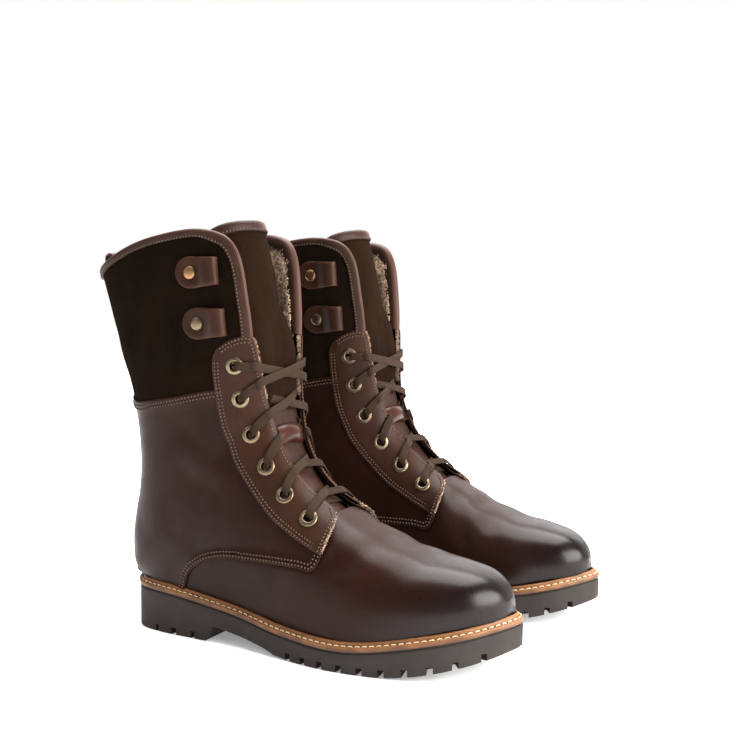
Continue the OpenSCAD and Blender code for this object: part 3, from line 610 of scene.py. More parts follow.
def suede(name, colour, nap=0.35):
    """Brushed suede: a short nap with darker and lighter brush strokes."""
    f = Finish(name, 0.95, Specular_IOR_Level=0.02, Sheen_Weight=0.01, Sheen_Roughness=0.5,
               Sheen_Tint=(0.55, 0.42, 0.30, 1.0))
    strokes = f.ramp(f.noise(42, 4, 0.6, stretch=(1, 1, 0.55), distortion=0.8), 0, 1, 0.30, 0.72)
    body = f.mix(strokes, scaled(colour, 0.70), scaled(colour, 1.35))
    fibre = f.ramp(f.noise(1500, 3, 0.7), 0, 1, 0.35, 0.7)
    body = f.mix(f.ramp(fibre, 0, 0.5), body, scaled(colour, 2.1))
    body = f.mix(f.ramp(f.mark("edge"), 0, 0.5), body, scaled(colour, 1.8))
    f.colour(body)
    f.bump(f.sum((f.noise(1100, 4, 0.7), 1.0), (f.noise(240, 4, 0.6), 0.8)), nap)
    return f.material


def fleece_finish(name, colour):
    f = Finish(name, 1.0, Specular_IOR_Level=0.08, Sheen_Weight=0.35, Sheen_Roughness=0.6,
               Sheen_Tint=(0.9, 0.85, 0.75, 1.0))
    # random clumps of fleece: their dark share is painted shade in the gaps between tufts, their light share is
    # painted light on the tufts
    clump_light_and_shade = f.ramp(f.noise(330, 3, 0.6), 0, 1, 0.38, 0.62)
    body = f.mix(clump_light_and_shade, scaled(colour, 0.22), scaled(colour, 1.55))
    strand = f.ramp(f.noise(1700, 3, 0.7), 0, 1, 0.35, 0.7)
    f.colour(f.mix(f.ramp(strand, 0, 0.45), body, scaled(colour, 1.7)))
    f.bump(f.sum((f.noise(420, 5, 0.7), 1.2), (f.noise(1500, 3, 0.7), 0.6)), 1.5)
    return f.material


def lace_finish(name, colour):
    """Flat woven lace: a herringbone of fine yarns over its length and width marks."""
    f = Finish(name, 0.8, Specular_IOR_Level=0.08, Sheen_Weight=0.03, Sheen_Roughness=0.5,
               Sheen_Tint=(0.8, 0.7, 0.6, 1.0))
    run, across = f.mark("run"), f.mark("across")
    yarn = None
    for turn in (1.0, -1.0):
        slope = f.sum((run, 6.2), (across, 5.0 * turn))
        wave = f.node("ShaderNodeMath", {0: slope}, operation="SINE").outputs[0]
        yarn = wave if yarn is None else f.node(
            "ShaderNodeMath", {0: yarn, 1: wave}, operation="MAXIMUM").outputs[0]
    shade = f.ramp(yarn, 0, 1, -0.2, 1.0)
    body = f.mix(shade, scaled(colour, 0.45), scaled(colour, 1.25))
    body = f.mix(f.ramp(f.noise(900, 2), 0, 0.4, 0.35, 0.7), body, scaled(colour, 1.7))
    f.colour(body)
    f.bump(f.sum((yarn, 1.0), (f.noise(2500, 2), 0.5)), 0.16)
    return f.material


def thread_finish(name, colour):
    f = Finish(name, 0.6, Specular_IOR_Level=0.3)
    twist = f.ramp(f.noise(1600, 2, 0.6), 0, 1, 0.3, 0.7)
    thread = f.mix(twist, scaled(colour, 0.65), scaled(colour, 1.25))
    # the needle-hole discs are coloured near black: painted shade in the holes
    f.colour(f.mix(f.mark("hole"), thread, (0.006, 0.004, 0.003)))
    f.bump(f.noise(3000, 2), 0.08)
    return f.material


def rubber_finish(name, colour):
    """Moulded rubber, slightly dusty, with a fine matt texture."""
    f = Finish(name, 0.62, Specular_IOR_Level=0.22)
    cloud = f.ramp(f.noise(34, 5, 0.65), 0, 1, 0.3, 0.7)
    body = f.mix(cloud, scaled(colour, 0.85), scaled(colour, 1.18))
    dust = f.ramp(f.noise(900, 4, 0.7), 0, 1, 0.45, 0.75)
    f.colour(f.mix(f.ramp(dust, 0, 0.25), body, scaled(colour, 1.8)))
    f.bump(f.sum((f.noise(1400, 3), 0.7), (f.noise(180, 3), 0.6)), 0.10)
    f.roughness(f.ramp(f.noise(60, 3), 0.54, 0.72, 0.3, 0.7))
    return f.material


def welt_finish(name, colour, dark):
    """Veg-tan welt leather: streaked along its edge, darker towards the sole, in its stitch groove and on its side
    against the upper.
    """
    f = Finish(name, 0.5, Specular_IOR_Level=0.4, Coat_Weight=0.1, Coat_Roughness=0.35)
    streak = f.ramp(f.noise(60, 5, 0.7, stretch=(0.5, 0.5, 5)), 0, 1, 0.3, 0.7)
    body = f.mix(streak, scaled(colour, 0.72), scaled(colour, 1.2))
    body = f.mix(f.ramp(f.noise(420, 4, 0.7), 0, 0.5, 0.42, 0.7), body, scaled(colour, 0.5))
    # darker towards the sole, in the stitch groove and on the side against the upper
    body = f.mix(f.mark("stain"), body, dark)
    f.colour(body)
    f.bump(f.sum((f.noise(300, 5, 0.7, stretch=(1, 1, 4)), 1.0), (f.noise(1500, 2), 0.4)), 0.22)
    return f.material


def brass_finish(name, colour, dark):
    """Antique brass: bright on worn rims, brown in the hollows."""
    f = Finish(name, 0.34, Metallic=1.0)
    tarnish = f.ramp(f.noise(700, 4, 0.65), 0, 1, 0.35, 0.7)
    body = f.mix(f.ramp(tarnish, 0, 0.65), colour, dark)
    body = f.mix(f.mark("hollow"), body, scaled(dark, 0.5))
    f.colour(body)
    f.bump(f.noise(1800, 3, 0.6), 0.05)
    f.roughness(f.ramp(f.noise(900, 3), 0.26, 0.48, 0.3, 0.7))
    return f.material


BROWN = (0.0215, 0.0081, 0.0049)
MATERIALS = {
    "smooth": leather("smooth_leather", BROWN, 0.36, toe_colour=(0.0075, 0.0036, 0.0034)),
    "eyestay": leather("eyestay_leather", (0.0356, 0.0156, 0.0094), 0.40, edge=2.2),
    "binding": leather("binding_leather", (0.038, 0.0202, 0.0146), 0.38, edge=3.0),
    "tongue_leather": leather("tongue_leather", (0.037, 0.0197, 0.0143), 0.36),
    "keeper": leather("keeper_leather", (0.0396, 0.0154, 0.0107), 0.2, grain=0.05),
    "suede": suede("shaft_suede", (0.0094, 0.0056, 0.0034)),
    "nubuck": suede("tongue_nubuck", (0.0142, 0.0075, 0.0044), nap=0.4),
    "fleece": fleece_finish("fleece", (0.5194, 0.3744, 0.2668)),
    "lace": lace_finish("woven_lace", (0.0428, 0.0265, 0.0179)),
    "thread": thread_finish("brown_thread", (0.118, 0.079, 0.0575)),
    # edge=0.7: the back strap's sides are painted darker, partly painted shade along its edge and partly its dark
    # cut edge
    "strap": leather("back_strap_leather", (0.017, 0.0105, 0.0085), 0.4, edge=0.7),
    "dark_thread": thread_finish("dark_thread", (0.07, 0.038, 0.026)),
    "cream_thread": thread_finish("cream_thread", (0.70, 0.55, 0.36)),
    "rubber": rubber_finish("sole_rubber", (0.0365, 0.0299, 0.0263)),
    "welt": welt_finish("tan_welt", (0.2635, 0.1189, 0.0416), (0.085, 0.035, 0.014)),
    "board": welt_finish("insole_board", (0.30, 0.20, 0.12), (0.1, 0.06, 0.03)),
    "brass": brass_finish("antique_brass", (0.255, 0.204, 0.136), (0.085, 0.058, 0.034)),
    "copper": brass_finish("rivet_brass", (0.3794, 0.2387, 0.13), (0.25, 0.13, 0.06)),
    "aglet": leather("aglet", (0.03, 0.018, 0.012), 0.25, grain=0.03),
}

# ---- camera and loose laces -----------------------------------------------------------------------------

CAMERA_AT = (531.6, -666.3, 246.2)
CAMERA_TURN, CAMERA_DIP = math.radians(27.2), math.radians(3.84)
FOCAL_OVER_WIDTH = 1100 / 735
SENSOR = 36.0


def add_camera():
    data = bpy.data.cameras.new("camera")
    data.sensor_width = SENSOR
    data.lens = FOCAL_OVER_WIDTH * SENSOR
    data.clip_start, data.clip_end = 0.05, 50
    camera = bpy.data.objects.new("camera", data)
    camera.location = place(np.array(CAMERA_AT), "right")
    camera.rotation_euler = (math.pi / 2 - CAMERA_DIP, 0, CAMERA_TURN)
    bpy.context.scene.collection.objects.link(camera)
    bpy.context.scene.camera = camera


def ribbon(shape, points, widths, width, thickness, spacing=1.0):
    """A flat woven band through points, with the direction of its width at each of them."""
    table = np.concatenate([points, widths], -1)
    fine = part_way(table, np.linspace(0, 1, 3000))
    s = np.concatenate([[0], np.linalg.norm(np.diff(fine[:, :3], axis=0), axis=1).cumsum()])
    at = np.linspace(0, s[-1], max(8, int(s[-1] / spacing)))
    rows = np.stack([np.interp(at, s, fine[:, k]) for k in range(6)], -1)
    p = rows[:, :3]
    run = unit(np.gradient(p, axis=0))
    w = unit(rows[:, 3:] - (rows[:, 3:] * run).sum(-1, keepdims=True) * run)
    n = np.cross(w, run)
    turn = np.arange(14) / 14 * 2 * math.pi
    x = width / 2 * np.sign(np.cos(turn)) * np.abs(np.cos(turn)) ** 0.55
    y = thickness / 2 * np.sign(np.sin(turn)) * np.abs(np.sin(turn)) ** 0.7
    rings = p[:, None] + x[:, None] * w[:, None] + y[:, None] * n[:, None]
    tube(shape, rings, run=np.repeat(at, len(turn)), across=np.tile(x, len(at)))
    return p


def lace_tails():
    """The laces' loose ends: two flat cords per boot, each with its aglet."""
    for side, which in ((-1, "lateral"), (1, "medial")):
        route = np.array(TAIL_ROUTE, float) * [1, side, 1]
        widths = np.tile([0.2, 1.0, 0.2], (len(route), 1))
        shape = Shape()
        line = ribbon(shape, route, widths, LACE_WIDTH, LACE_THICKNESS)
        run = unit(route[-1] - route[-2])
        tip = Shape()
        profile = [(0.2, 0), (1.5, 0), (AGLET_RADIUS, 0.5), (AGLET_RADIUS, AGLET_LENGTH - 1.5),
                   (1.2, AGLET_LENGTH - 0.2), (0.2, AGLET_LENGTH)]
        revolve(tip, profile, [frame_at(route[-1] + 0.1 * run, run, np.array([0, 0, 1.0]))], 16)
        aglets = make(f"{which}_aglet", tip, MATERIALS["aglet"],
                      stands_for=("aglets",))
        tails = make(f"{which}_lace_end", shape, MATERIALS["lace"],
                     stands_for=(f"{which}_lace_tail",))
        length = np.linalg.norm(np.diff(line, axis=0), axis=1).sum() * MM
        for boot, tail, aglet in zip(BOOTS, tails, aglets):
            path = place(line[::4], boot)
            path = np.concatenate([path, place(line[-1:], boot)])


# ---- sole and welt -----------------------------------------------------------------------------------------

# the heel block's front face: where it starts on the floor and how far it leans forward
HEEL_FOOT, HEEL_SLANT = HEEL_LENGTH - 1.5, 6.5
# lug notches: where they are along the sole's edge and how wide
HEEL_NOTCHES = [(4, 5.2), (34, 2.2), (50, 5), (67, 3.6)]
FORE_NOTCHES = [(x, 4.2) for x in (153, 165.5, 179.5, 194.5, 209, 224, 239.5, 255, 270, 285)]
LUG_HEIGHT = 5.2


def sole_height(x):
    return along(SOLE_TOP, np.asarray(x, float) / 50)


def tread_height(x):
    x = np.asarray(x, float)
    shank = HEEL_FOOT + HEEL_SLANT
    s = np.clip((x - shank) / (TREAD_START - shank), 0, 1)
    arch = ARCH_HEIGHT * (1 - s) ** 0.7 + TREAD_LINE[0] * s
    breast = np.clip((x - HEEL_FOOT) / HEEL_SLANT, 0, 1)
    fore = np.maximum(along(TREAD_LINE, np.clip((x - TREAD_START) / 20, 0, 8)), 0)
    return np.where(x < TREAD_START, arch * breast, fore)


def sole_stations(spacing, extra=()):
    """Steps along the sole's edge, and there both edge points and the directions inward."""
    k = np.linspace(0, 14, 1401)
    e = along(SOLE_EDGE, k)
    reach = np.maximum(np.linalg.norm(np.diff(e[:, [0, 1]], axis=0), axis=1),
                       np.linalg.norm(np.diff(e[:, [0, 2]], axis=0), axis=1))
    s = np.concatenate([[0], reach.cumsum()])
    ks = np.interp(np.linspace(0, s[-1], int(s[-1] / spacing)), s, k)
    ks = np.sort(np.concatenate([ks, extra])) if len(extra) else ks
    sides = []
    for column, turn in ((1, 1), (2, -1)):
        run = unit(np.gradient(e[:, [0, column]], axis=0))
        inward = np.stack([-run[:, 1] * turn, run[:, 0] * turn], -1)
        at = np.stack([np.interp(ks, k, e[:, c]) for c in (0, column)], -1)
        to = unit(np.stack([np.interp(ks, k, inward[:, c]) for c in (0, 1)], -1))
        sides.append((at, to))
    return ks, sides


def sole_loop(spacing):
    """The sole's edge as one closed loop: points and inward directions."""
    _, ((outer, out_in), (inner, in_in)) = sole_stations(spacing)
    return np.concatenate([outer, inner[::-1]]), np.concatenate([out_in, in_in[::-1]])


def outsole():
    breast = [5 + (x - 70) / 35 for x in (HEEL_FOOT, HEEL_FOOT + HEEL_SLANT)]
    ks, sides = sole_stations(2.4, extra=breast)
    # the side wall from the tread up: inset, then height above the tread or below the top
    foot = [(2.2, 0.0), (1.5, 0.15), (0.95, 0.6), (0.75, 1.5), (0.7, 3.0)]
    head = [(0.7, 3.2), (0.75, 1.9), (1.0, 1.3), (1.5, 1.0), (1.6, 0.0)]
    columns = np.linspace(0, 1, 13)[1:-1]
    rings = []
    for i in range(len(ks)):
        walls = []
        for at, inward in sides:
            low, top = float(tread_height(at[i][0])), float(sole_height(at[i][0])) - 0.05
            levels = [[*(at[i] + inset * inward[i]), low + rise] for inset, rise in foot]
            levels += [[*(at[i] + inset * inward[i]), top - rise] for inset, rise in head]
            walls.append(np.array(levels))
        left, right = walls
        top = [left[-1] * (1 - c) + right[-1] * c for c in columns]
        bottom = [right[0] * (1 - c) + left[0] * c for c in columns]
        rings.append(np.concatenate([left, top, right[::-1], bottom]))
    body = Shape()
    tube(body, rings)
    make("rubber_outsole", body, MATERIALS["rubber"], stands_for=("outsole",),
         smooth=35, edit=cut_lugs)


def block(shape, centre, reach, width, low, high):
    """A box that reaches from its centre along a level direction."""
    reach = np.array([*reach, 0.0])
    across = np.cross([0, 0, 1.0], unit(reach)) * width / 2
    corners = [np.array([*centre, z]) + a * reach + b * across
               for z in (low, high) for a, b in ((-0.3, -1), (1, -1), (1, 1), (-0.3, 1))]
    shape.add(corners, [(3, 2, 1, 0), (4, 5, 6, 7), (0, 1, 5, 4), (1, 2, 6, 5), (2, 3, 7, 6),
                        (3, 0, 4, 7)])


def cut_lugs(obj, boot):
    """Notches in the sole's edge and grooves in its tread."""
    cutter = Shape()
    _, sides = sole_stations(0.5)
    for at, inward in sides:
        for x, width in HEEL_NOTCHES + FORE_NOTCHES:
            i = np.argmin(np.abs(at[:, 0] - x))
            ground = float(tread_height(x))
            block(cutter, at[i], (10 if x < HEEL_FOOT else 17) * inward[i], width, -5, ground + LUG_HEIGHT)
    middle = sides[0][0][:, 1] / 2 + sides[1][0][:, 1] / 2
    for x in [14, 27, 43, 58] + list(range(159, 275, 15)):
        y = middle[np.argmin(np.abs(sides[0][0][:, 0] - x))]
        block(cutter, (x, y - 8), (0, 19), 6, -5, float(tread_height(x)) + 3.0)
    carve(obj, cutter, boot)


def carve(obj, cutter, boot):
    """Cuts a shape out of an object, for good."""
    mesh = bpy.data.meshes.new("cutter")
    faces = cutter.faces if cutter.volume() > 0 else [face[::-1] for face in cutter.faces]
    if boot == "left":
        faces = [face[::-1] for face in faces]
    mesh.from_pydata(place(np.concatenate(cutter.points), boot).tolist(), [], faces)
    tool = bpy.data.objects.new("cutter", mesh)
    bpy.context.scene.collection.objects.link(tool)
    modifier = obj.modifiers.new("cut", "BOOLEAN")
    modifier.object, modifier.solver, modifier.operation = tool, "EXACT", "DIFFERENCE"
    modifier.use_self = True
    graph = bpy.context.evaluated_depsgraph_get()
    result = bpy.data.meshes.new_from_object(obj.evaluated_get(graph))
    obj.modifiers.clear()
    obj.data = result
    bpy.data.objects.remove(tool)
    result.set_sharp_from_angle(angle=math.radians(35))


WELT_GROOVE = 1.9


def welt():
    """A storm welt: its stitched edge, and the ridge that stands against the upper."""
    at, inward = sole_loop(2.0)
    # inset, height above the sole's top, how much darker the welt is there
    section = [(0.9, 0.0, 1), (0.35, 0.2, 1), (0.1, 0.7, 0.9), (0.0, 1.5, 0.75), (0.0, 2.4, 0.5),
               (0.25, 3.05, 0.15), (0.7, 3.35, 0), (1.3, 3.3, 0.3), (WELT_GROOVE, 3.1, 0.6),
               (2.5, 3.2, 0.45), (2.9, 3.6, 0.35), (3.2, 4.3, 0.2), (3.5, 5.1, 0), (3.9, 5.7, 0),
               (4.5, 5.95, 0), (5.2, 5.7, 0.4), (6.2, 4.2, 1), (WELT_WIDTH, 3.0, 1),
               (WELT_WIDTH, 0.3, 1), (8.6, 0.0, 1)]
    x = at[:, 0]
    rings = []
    for inset, rise, _ in section:
        xy = at + inset * inward
        rings.append(np.concatenate([xy, (sole_height(x) + rise)[:, None]], 1))
    # an uneven ripple along the welt in how far the darker bands reach
    darkening_ripple = 0.35 * np.sin(x / 6.1 + at[:, 1] / 9) + 0.3 * np.sin(x / 2.3 - at[:, 1] / 4)
    stain = [np.clip(s + (darkening_ripple * 0.5 if 0.02 < s < 0.95 else 0), 0, 1) * np.ones(len(x))
             for _, _, s in section]
    shape = Shape()
    tube(shape, np.stack(rings, 1), closed=True, stain=np.stack(stain, 1).ravel())
    make("stitched_welt", shape, MATERIALS["welt"], stands_for=("welt",), smooth=60)
    p = np.concatenate([at + WELT_GROOVE * inward, (sole_height(x) + 3.35)[:, None]], 1)
    p = np.concatenate([p, p[:1]])
    up = np.tile([0.0, 0.0, 1.0], (len(p), 1))
    thread = Shape()
    stitches_on(thread, p, up, 5.0, 4.0, 0.46, -0.12)
    make("welt_stitches", thread, MATERIALS["cream_thread"])


def footbed():
    ks, sides = sole_stations(4.0)
    keep = (ks > 2.8) & (ks < 12.2)
    rows = []
    (outer, out_in), (inner, in_in) = sides
    for i in np.flatnonzero(keep):
        a, b = outer[i] + 13.5 * out_in[i], inner[i] + 13.5 * in_in[i]
        c = np.linspace(0, 1, 19)[:, None]
        rows.append(a * (1 - c) + b * c)
    rows = np.array(rows)
    top = sole_height(rows[..., 0]) + WELT_HEIGHT + 0.25
    cross = np.linspace(-1, 1, 19)
    upper = np.dstack([rows, top + 4.4 + 0.6 * cross ** 2 + 0.35 * lumps(np.dstack([rows, top]), 5.0)])
    shape = Shape()
    slab(shape, upper, np.dstack([rows, top]))
    make("footbed_cushion", shape, MATERIALS["fleece"], stands_for=("footbed",))


def lumps(p, wavelength, count=16, seed=3):
    """Smooth lumps of about that wavelength, from -1 to 1."""
    local = np.random.default_rng(seed)
    total = np.zeros(p.shape[:-1])
    for _ in range(count):
        direction = unit(local.normal(size=3))
        scale = 2 * math.pi / (wavelength * local.uniform(0.7, 1.5))
        total += np.sin(p @ direction * scale + local.uniform(0, 2 * math.pi))
    return total / math.sqrt(count)


# ---- upper ----------------------------------------------------------------------------------------------------

SKIN_LOW = -1.6
QUARTER_LIFT, QUARTER_SKIVE = 1.4, 14.0
CUFF_LIFT, CUFF_SKIVE = 1.1, 12.0


def quarter_lift(d):
    return QUARTER_LIFT * ease(d, QUARTER_SKIVE)


def vamp():
    seam = [[t, -u] for t, u in VAMP_SEAM[::-1]] + [[7.42, 0]] + VAMP_SEAM
    toe = [[0, u * 0.999] for _, u in seam]
    top = [[t + 0.16, u] for t, u in seam]
    sides = [[[s * 11.35, u] for s in (0, 0.25, 0.5, 0.75, 1)] for u in (-1, 1)]

    def lift(t, u, d):
        return -0.5 * ease(d[3], 12)

    shape = panel(Shape(), (sides[0], sides[1], toe, top), 1, SKIN_LOW, 0, 2.0, lift, cut=(3,))
    # the skin starts as a narrow upright slot at the toe, which a rib fills
    u = np.linspace(0.12, 1, 10)
    turn = np.linspace(0, 2 * math.pi, 12, endpoint=False)
    ring = 0.8 * np.stack([np.cos(turn) - 0.94, np.sin(turn), 0 * turn], -1)
    rings = (skin(0, u) + skin(0, -u))[::-1, None] / 2 + ring
    tube(shape, rings, toe=np.ones(rings.shape[:2]))
    make("vamp_leather", shape, MATERIALS["smooth"], stands_for=("vamp",))


def quarters():
    back = [[11.2 + s * 8.2, 1] for s in (0, 0.25, 0.5, 0.75, 1)]

    def lift(t, u, d):
        under_eyestay = np.clip((np.abs(u) - 0.28) / 0.08, 0, 1)
        return quarter_lift(d[2]) + CUFF_LIFT * ease(d[3], CUFF_SKIVE) * under_eyestay

    for side, which in ((-1, "lateral"), (1, "medial")):
        shape = panel(Shape(), (THROAT_EDGE, back, VAMP_SEAM, CUFF_SEAM), side, SKIN_LOW, 0, 1.9, lift)
        make(f"{which}_quarter_leather", shape, MATERIALS["smooth"],
             stands_for=(f"{which}_quarter",), edit=cut_eyelet_holes)
        thread = Shape()
        for d in (2.0, 4.6):
            line = inset_line(skin, VAMP_SEAM, side, d, (9.6, 0.3), 220)
            stitch_row(thread, skin, line, float(quarter_lift(d)))
            line = inset_line(skin, CUFF_SEAM[1:], side, d, (14, 0.6), 220)
            stitch_row(thread, skin, line, CUFF_LIFT * float(ease(d, CUFF_SKIVE)))
        make(f"{which}_quarter_stitches", thread, MATERIALS["thread"])


def cuffs():
    foot = [[t - 0.3, u] for t, u in CUFF_SEAM]
    back = [[19.1 + s * 3.35, 1] for s in (0, 0.5, 1)]
    front = [[15.6, 0.13]] + CUFF_FRONT[1:]

    def lift(t, u, d):
        return -0.65 * ease(d[2], 12) - 0.15 * ease(d[3], 7) + 0.25 * lumps(skin(t, u), 26, 8, 5)

    for side, which in ((-1, "lateral"), (1, "medial")):
        shape = panel(Shape(), (front, back, foot, TOPLINE), side, SKIN_LOW, 0, 2.0, lift)
        make(f"{which}_cuff_suede", shape, MATERIALS["suede"],
             stands_for=(f"{which}_cuff",), edit=cut_eyelet_holes)


def eyestays():
    edges = (EYESTAY_FRONT, EYESTAY_BACK, EYESTAY_FOOT, EYESTAY_HEAD)

    def lift(t, u, d):
        return quarter_lift(d[2]) - 0.3 * np.exp(-((d[1] - 3.2) / 2.2) ** 2)

    for side, which in ((-1, "lateral"), (1, "medial")):
        shape = panel(Shape(), edges, side, OVERLAY_LOW, OVERLAY_HIGH, 1.5, lift)
        make(f"{which}_eyestay_leather", shape, MATERIALS["eyestay"],
             stands_for=(f"{which}_eyestay",), edit=cut_eyelet_holes)
        thread = Shape()
        middle = (12.0, 0.2)
        for d in (1.7, 4.2):
            line = inset_line(skin, EYESTAY_BACK[:-1], side, d, middle, 260)
            stitch_row(thread, skin, line, OVERLAY_HIGH - 0.2, 2.5, 1.5, 0.54)
            line = inset_line(skin, EYESTAY_HEAD, side, d, middle, 80)
            stitch_row(thread, skin, line, OVERLAY_HIGH, 2.5, 1.5, 0.54)
        line = inset_line(skin, EYESTAY_FRONT, side, 2.8, middle, 260)
        stitch_row(thread, skin, line, OVERLAY_HIGH, 2.5, 1.5, 0.54)
        t, u = inset_line(skin, EYESTAY_FOOT, side, 2.6, middle, 80)
        stitch_row(thread, skin, (t, u), OVERLAY_HIGH + 1.3, 2.5, 1.5, 0.54)
        make(f"{which}_eyestay_stitches", thread, MATERIALS["thread"])


def eyelet_frame(i, side):
    t, u = EYELETS[i][0], side * EYELETS[i][1]
    return frame_at(raised(skin, t, u, 0.0), outward(skin, t, u), np.array([0, 0, 1.0]))


EYELET_RADIUS, EYELET_BORE = 6.3, 3.2


def cut_eyelet_holes(obj, boot):
    side = -1 if "lateral" in obj.name else 1
    cutter = Shape()
    radius, low, high = EYELET_BORE + 0.9, -9, 9
    turn = np.linspace(0, 2 * math.pi, 24, endpoint=False)
    for i in range(len(EYELETS)):
        origin, x, y, n = eyelet_frame(i, side)
        circle = radius * (np.cos(turn)[:, None] * x + np.sin(turn)[:, None] * y)
        tube(cutter, [origin + circle + low * n, origin + circle + high * n])
    carve(obj, cutter, boot)


def eyelets():
    seat, r, bore = OVERLAY_HIGH - 0.1, EYELET_RADIUS, EYELET_BORE
    profile = [(bore, -2.4), (bore, seat + 0.3), (bore + 0.12, seat + 0.75), (bore + 0.5, seat + 1.05),
               (bore + 1.0, seat + 1.1), (bore + 1.5, seat + 0.95), (r - 1.0, seat + 0.85),
               (r - 0.45, seat + 0.65), (r - 0.1, seat + 0.35), (r, seat), (r - 0.2, seat - 0.3),
               (bore + 0.7, seat - 0.3), (bore + 0.7, -2.4)]
    hollow = [1.0 if q < bore + 0.1 else 0.3 if q < bore + 0.3 else 0.0 for q, _ in profile]
    for side, which in ((-1, "lateral"), (1, "medial")):
        shape = Shape()
        count = 48
        for i in range(len(EYELETS)):
            lift = quarter_lift(6.5) if i == len(EYELETS) - 1 else 0
            origin, x, y, n = eyelet_frame(i, side)
            revolve(shape, profile, [(origin + lift * n, x, y, n)], count,
                    hollow=np.tile(hollow, count))
        make(f"{which}_eyelet_rings", shape, MATERIALS["brass"],
             stands_for=(f"{which}_eyelets",), smooth=60)


def back_strap():
    half, low, high = 0.042, OVERLAY_LOW, OVERLAY_HIGH
    t, w = np.meshgrid(np.linspace(13.15, 21.75, 116), np.linspace(-1, 1, 15), indexing="ij")
    w = np.sign(w) * np.clip(np.abs(w), 0.02, 1)
    u = np.where(w < 0, -1 - half * w, 1 - half * w)
    n = outward(skin, t, u)
    n[..., 1] *= np.clip(np.abs(w) / 0.35, 0, 1)
    n = unit(n)
    p = skin(t, u) + relief(skin(t, u))[..., None] * n
    rim = 0.5 * (np.abs(w) > 0.97)
    shape = Shape()
    thin = 1.2 * np.clip((13.7 - t) / 0.5, 0, 1)
    # edge marks the strap's sides, painted darker: partly painted shade along the edge, partly the dark cut edge
    slab(shape, p + (high - rim * (thin < 0.1) - thin)[..., None] * n, p + (low + rim * (thin < 0.1))[..., None] * n,
         edge=np.exp(-(1 - np.abs(w)) * 8))
    make("back_strap_leather", shape, MATERIALS["strap"],
         stands_for=("back_strap",))
    thread = Shape()
    for side in (-1, 1):
        ts = np.linspace(13.8, 21.6, 200)
        stitch_row(thread, skin, (ts, side * (1 - half * 0.72) * np.ones(200)), high)
    make("back_strap_stitches", thread, MATERIALS["dark_thread"])


def band_rings(sheet, t, u, inside, profile, depth=1.0):
    """Rings of a band folded over an edge: profile points are (off the edge, above the sheet);
    depth scales how far the band reaches in from the edge."""
    p, n = sheet(t, u), outward(sheet, t, u)
    across = unit(np.cross(n, np.gradient(p, axis=0)))
    k = len(t) // 2
    if ((sheet(*inside) - p[k]) * across[k]).sum() > 0:
        across = -across
    rings = []
    for off, height in profile:
        if off < 0:
            t2, u2 = shifted(sheet, t, u, across, off * depth)
            rings.append(raised(sheet, t2, np.clip(u2, -1, 1), height))
        else:
            rings.append(raised(sheet, t, u, height) + off * across)
    return np.stack(rings, 1)


BINDING_DEPTH = 6.6
BINDING = [(-BINDING_DEPTH, 0.1), (-BINDING_DEPTH - 0.15, 0.7), (-BINDING_DEPTH + 0.2, 1.25),
           (-BINDING_DEPTH + 0.8, 1.3), (-4.6, 1.5), (-2.4, 1.75), (-0.8, 1.8), (0.4, 1.45),
           (1.2, 0.7), (1.5, -0.5), (1.35, -1.8), (0.7, -3.2), (-0.6, -4.5), (-3.0, -5.4),
           (-5.5, -5.7), (-8.2, -5.6), (-8.5, -5.0), (-8.0, -4.3), (-3, -4.2), (-0.8, -3.2),
           (0.1, -1.9), (0.2, -0.4), (-0.8, 0.05)]


def collar_binding():
    route = ([[17.42, 0.158], [18.3, 0.152], [18.8, 0.149]] + CUFF_FRONT[3:] + TOPLINE[1:-1]
             + [[22.46, 0.985]])
    at = part_way(route, np.linspace(0, 1, 190))
    depth = np.interp(at[:, 1], [0.146, 0.23, 0.3, 1], [1, 0.95, 0.66, 0.66])
    depth[at[:, 0] < 21] = 1
    halves, threads = [], Shape()
    roll = np.exp(-((np.array([o for o, _ in BINDING]) - 1.0) / 0.9) ** 2)
    for side in (-1, 1):
        t, u = at[:, 0], side * at[:, 1]
        halves.append(band_rings(skin, t, u, (19.5, side * 0.5), BINDING, depth))
        p, n = skin(t, u), outward(skin, t, u)
        across = unit(np.cross(n, np.gradient(p, axis=0)))
        across *= np.sign(((skin(19.5, side * 0.5) - p[95]) * across[95]).sum())
        line = shifted(skin, t, u, across, (BINDING_DEPTH - 1.2) * depth)
        stitch_row(threads, skin, line, 1.35, 2.5, 1.5, 0.54)
    rings = np.concatenate([halves[1], halves[0][::-1]])
    shape = Shape()
    tube(shape, rings, edge=np.tile(0.8 * roll, len(rings)))
    make("collar_binding_leather", shape, MATERIALS["binding"],
         stands_for=("collar_binding",), smooth=60)
    make("collar_binding_stitches", threads, MATERIALS["thread"])


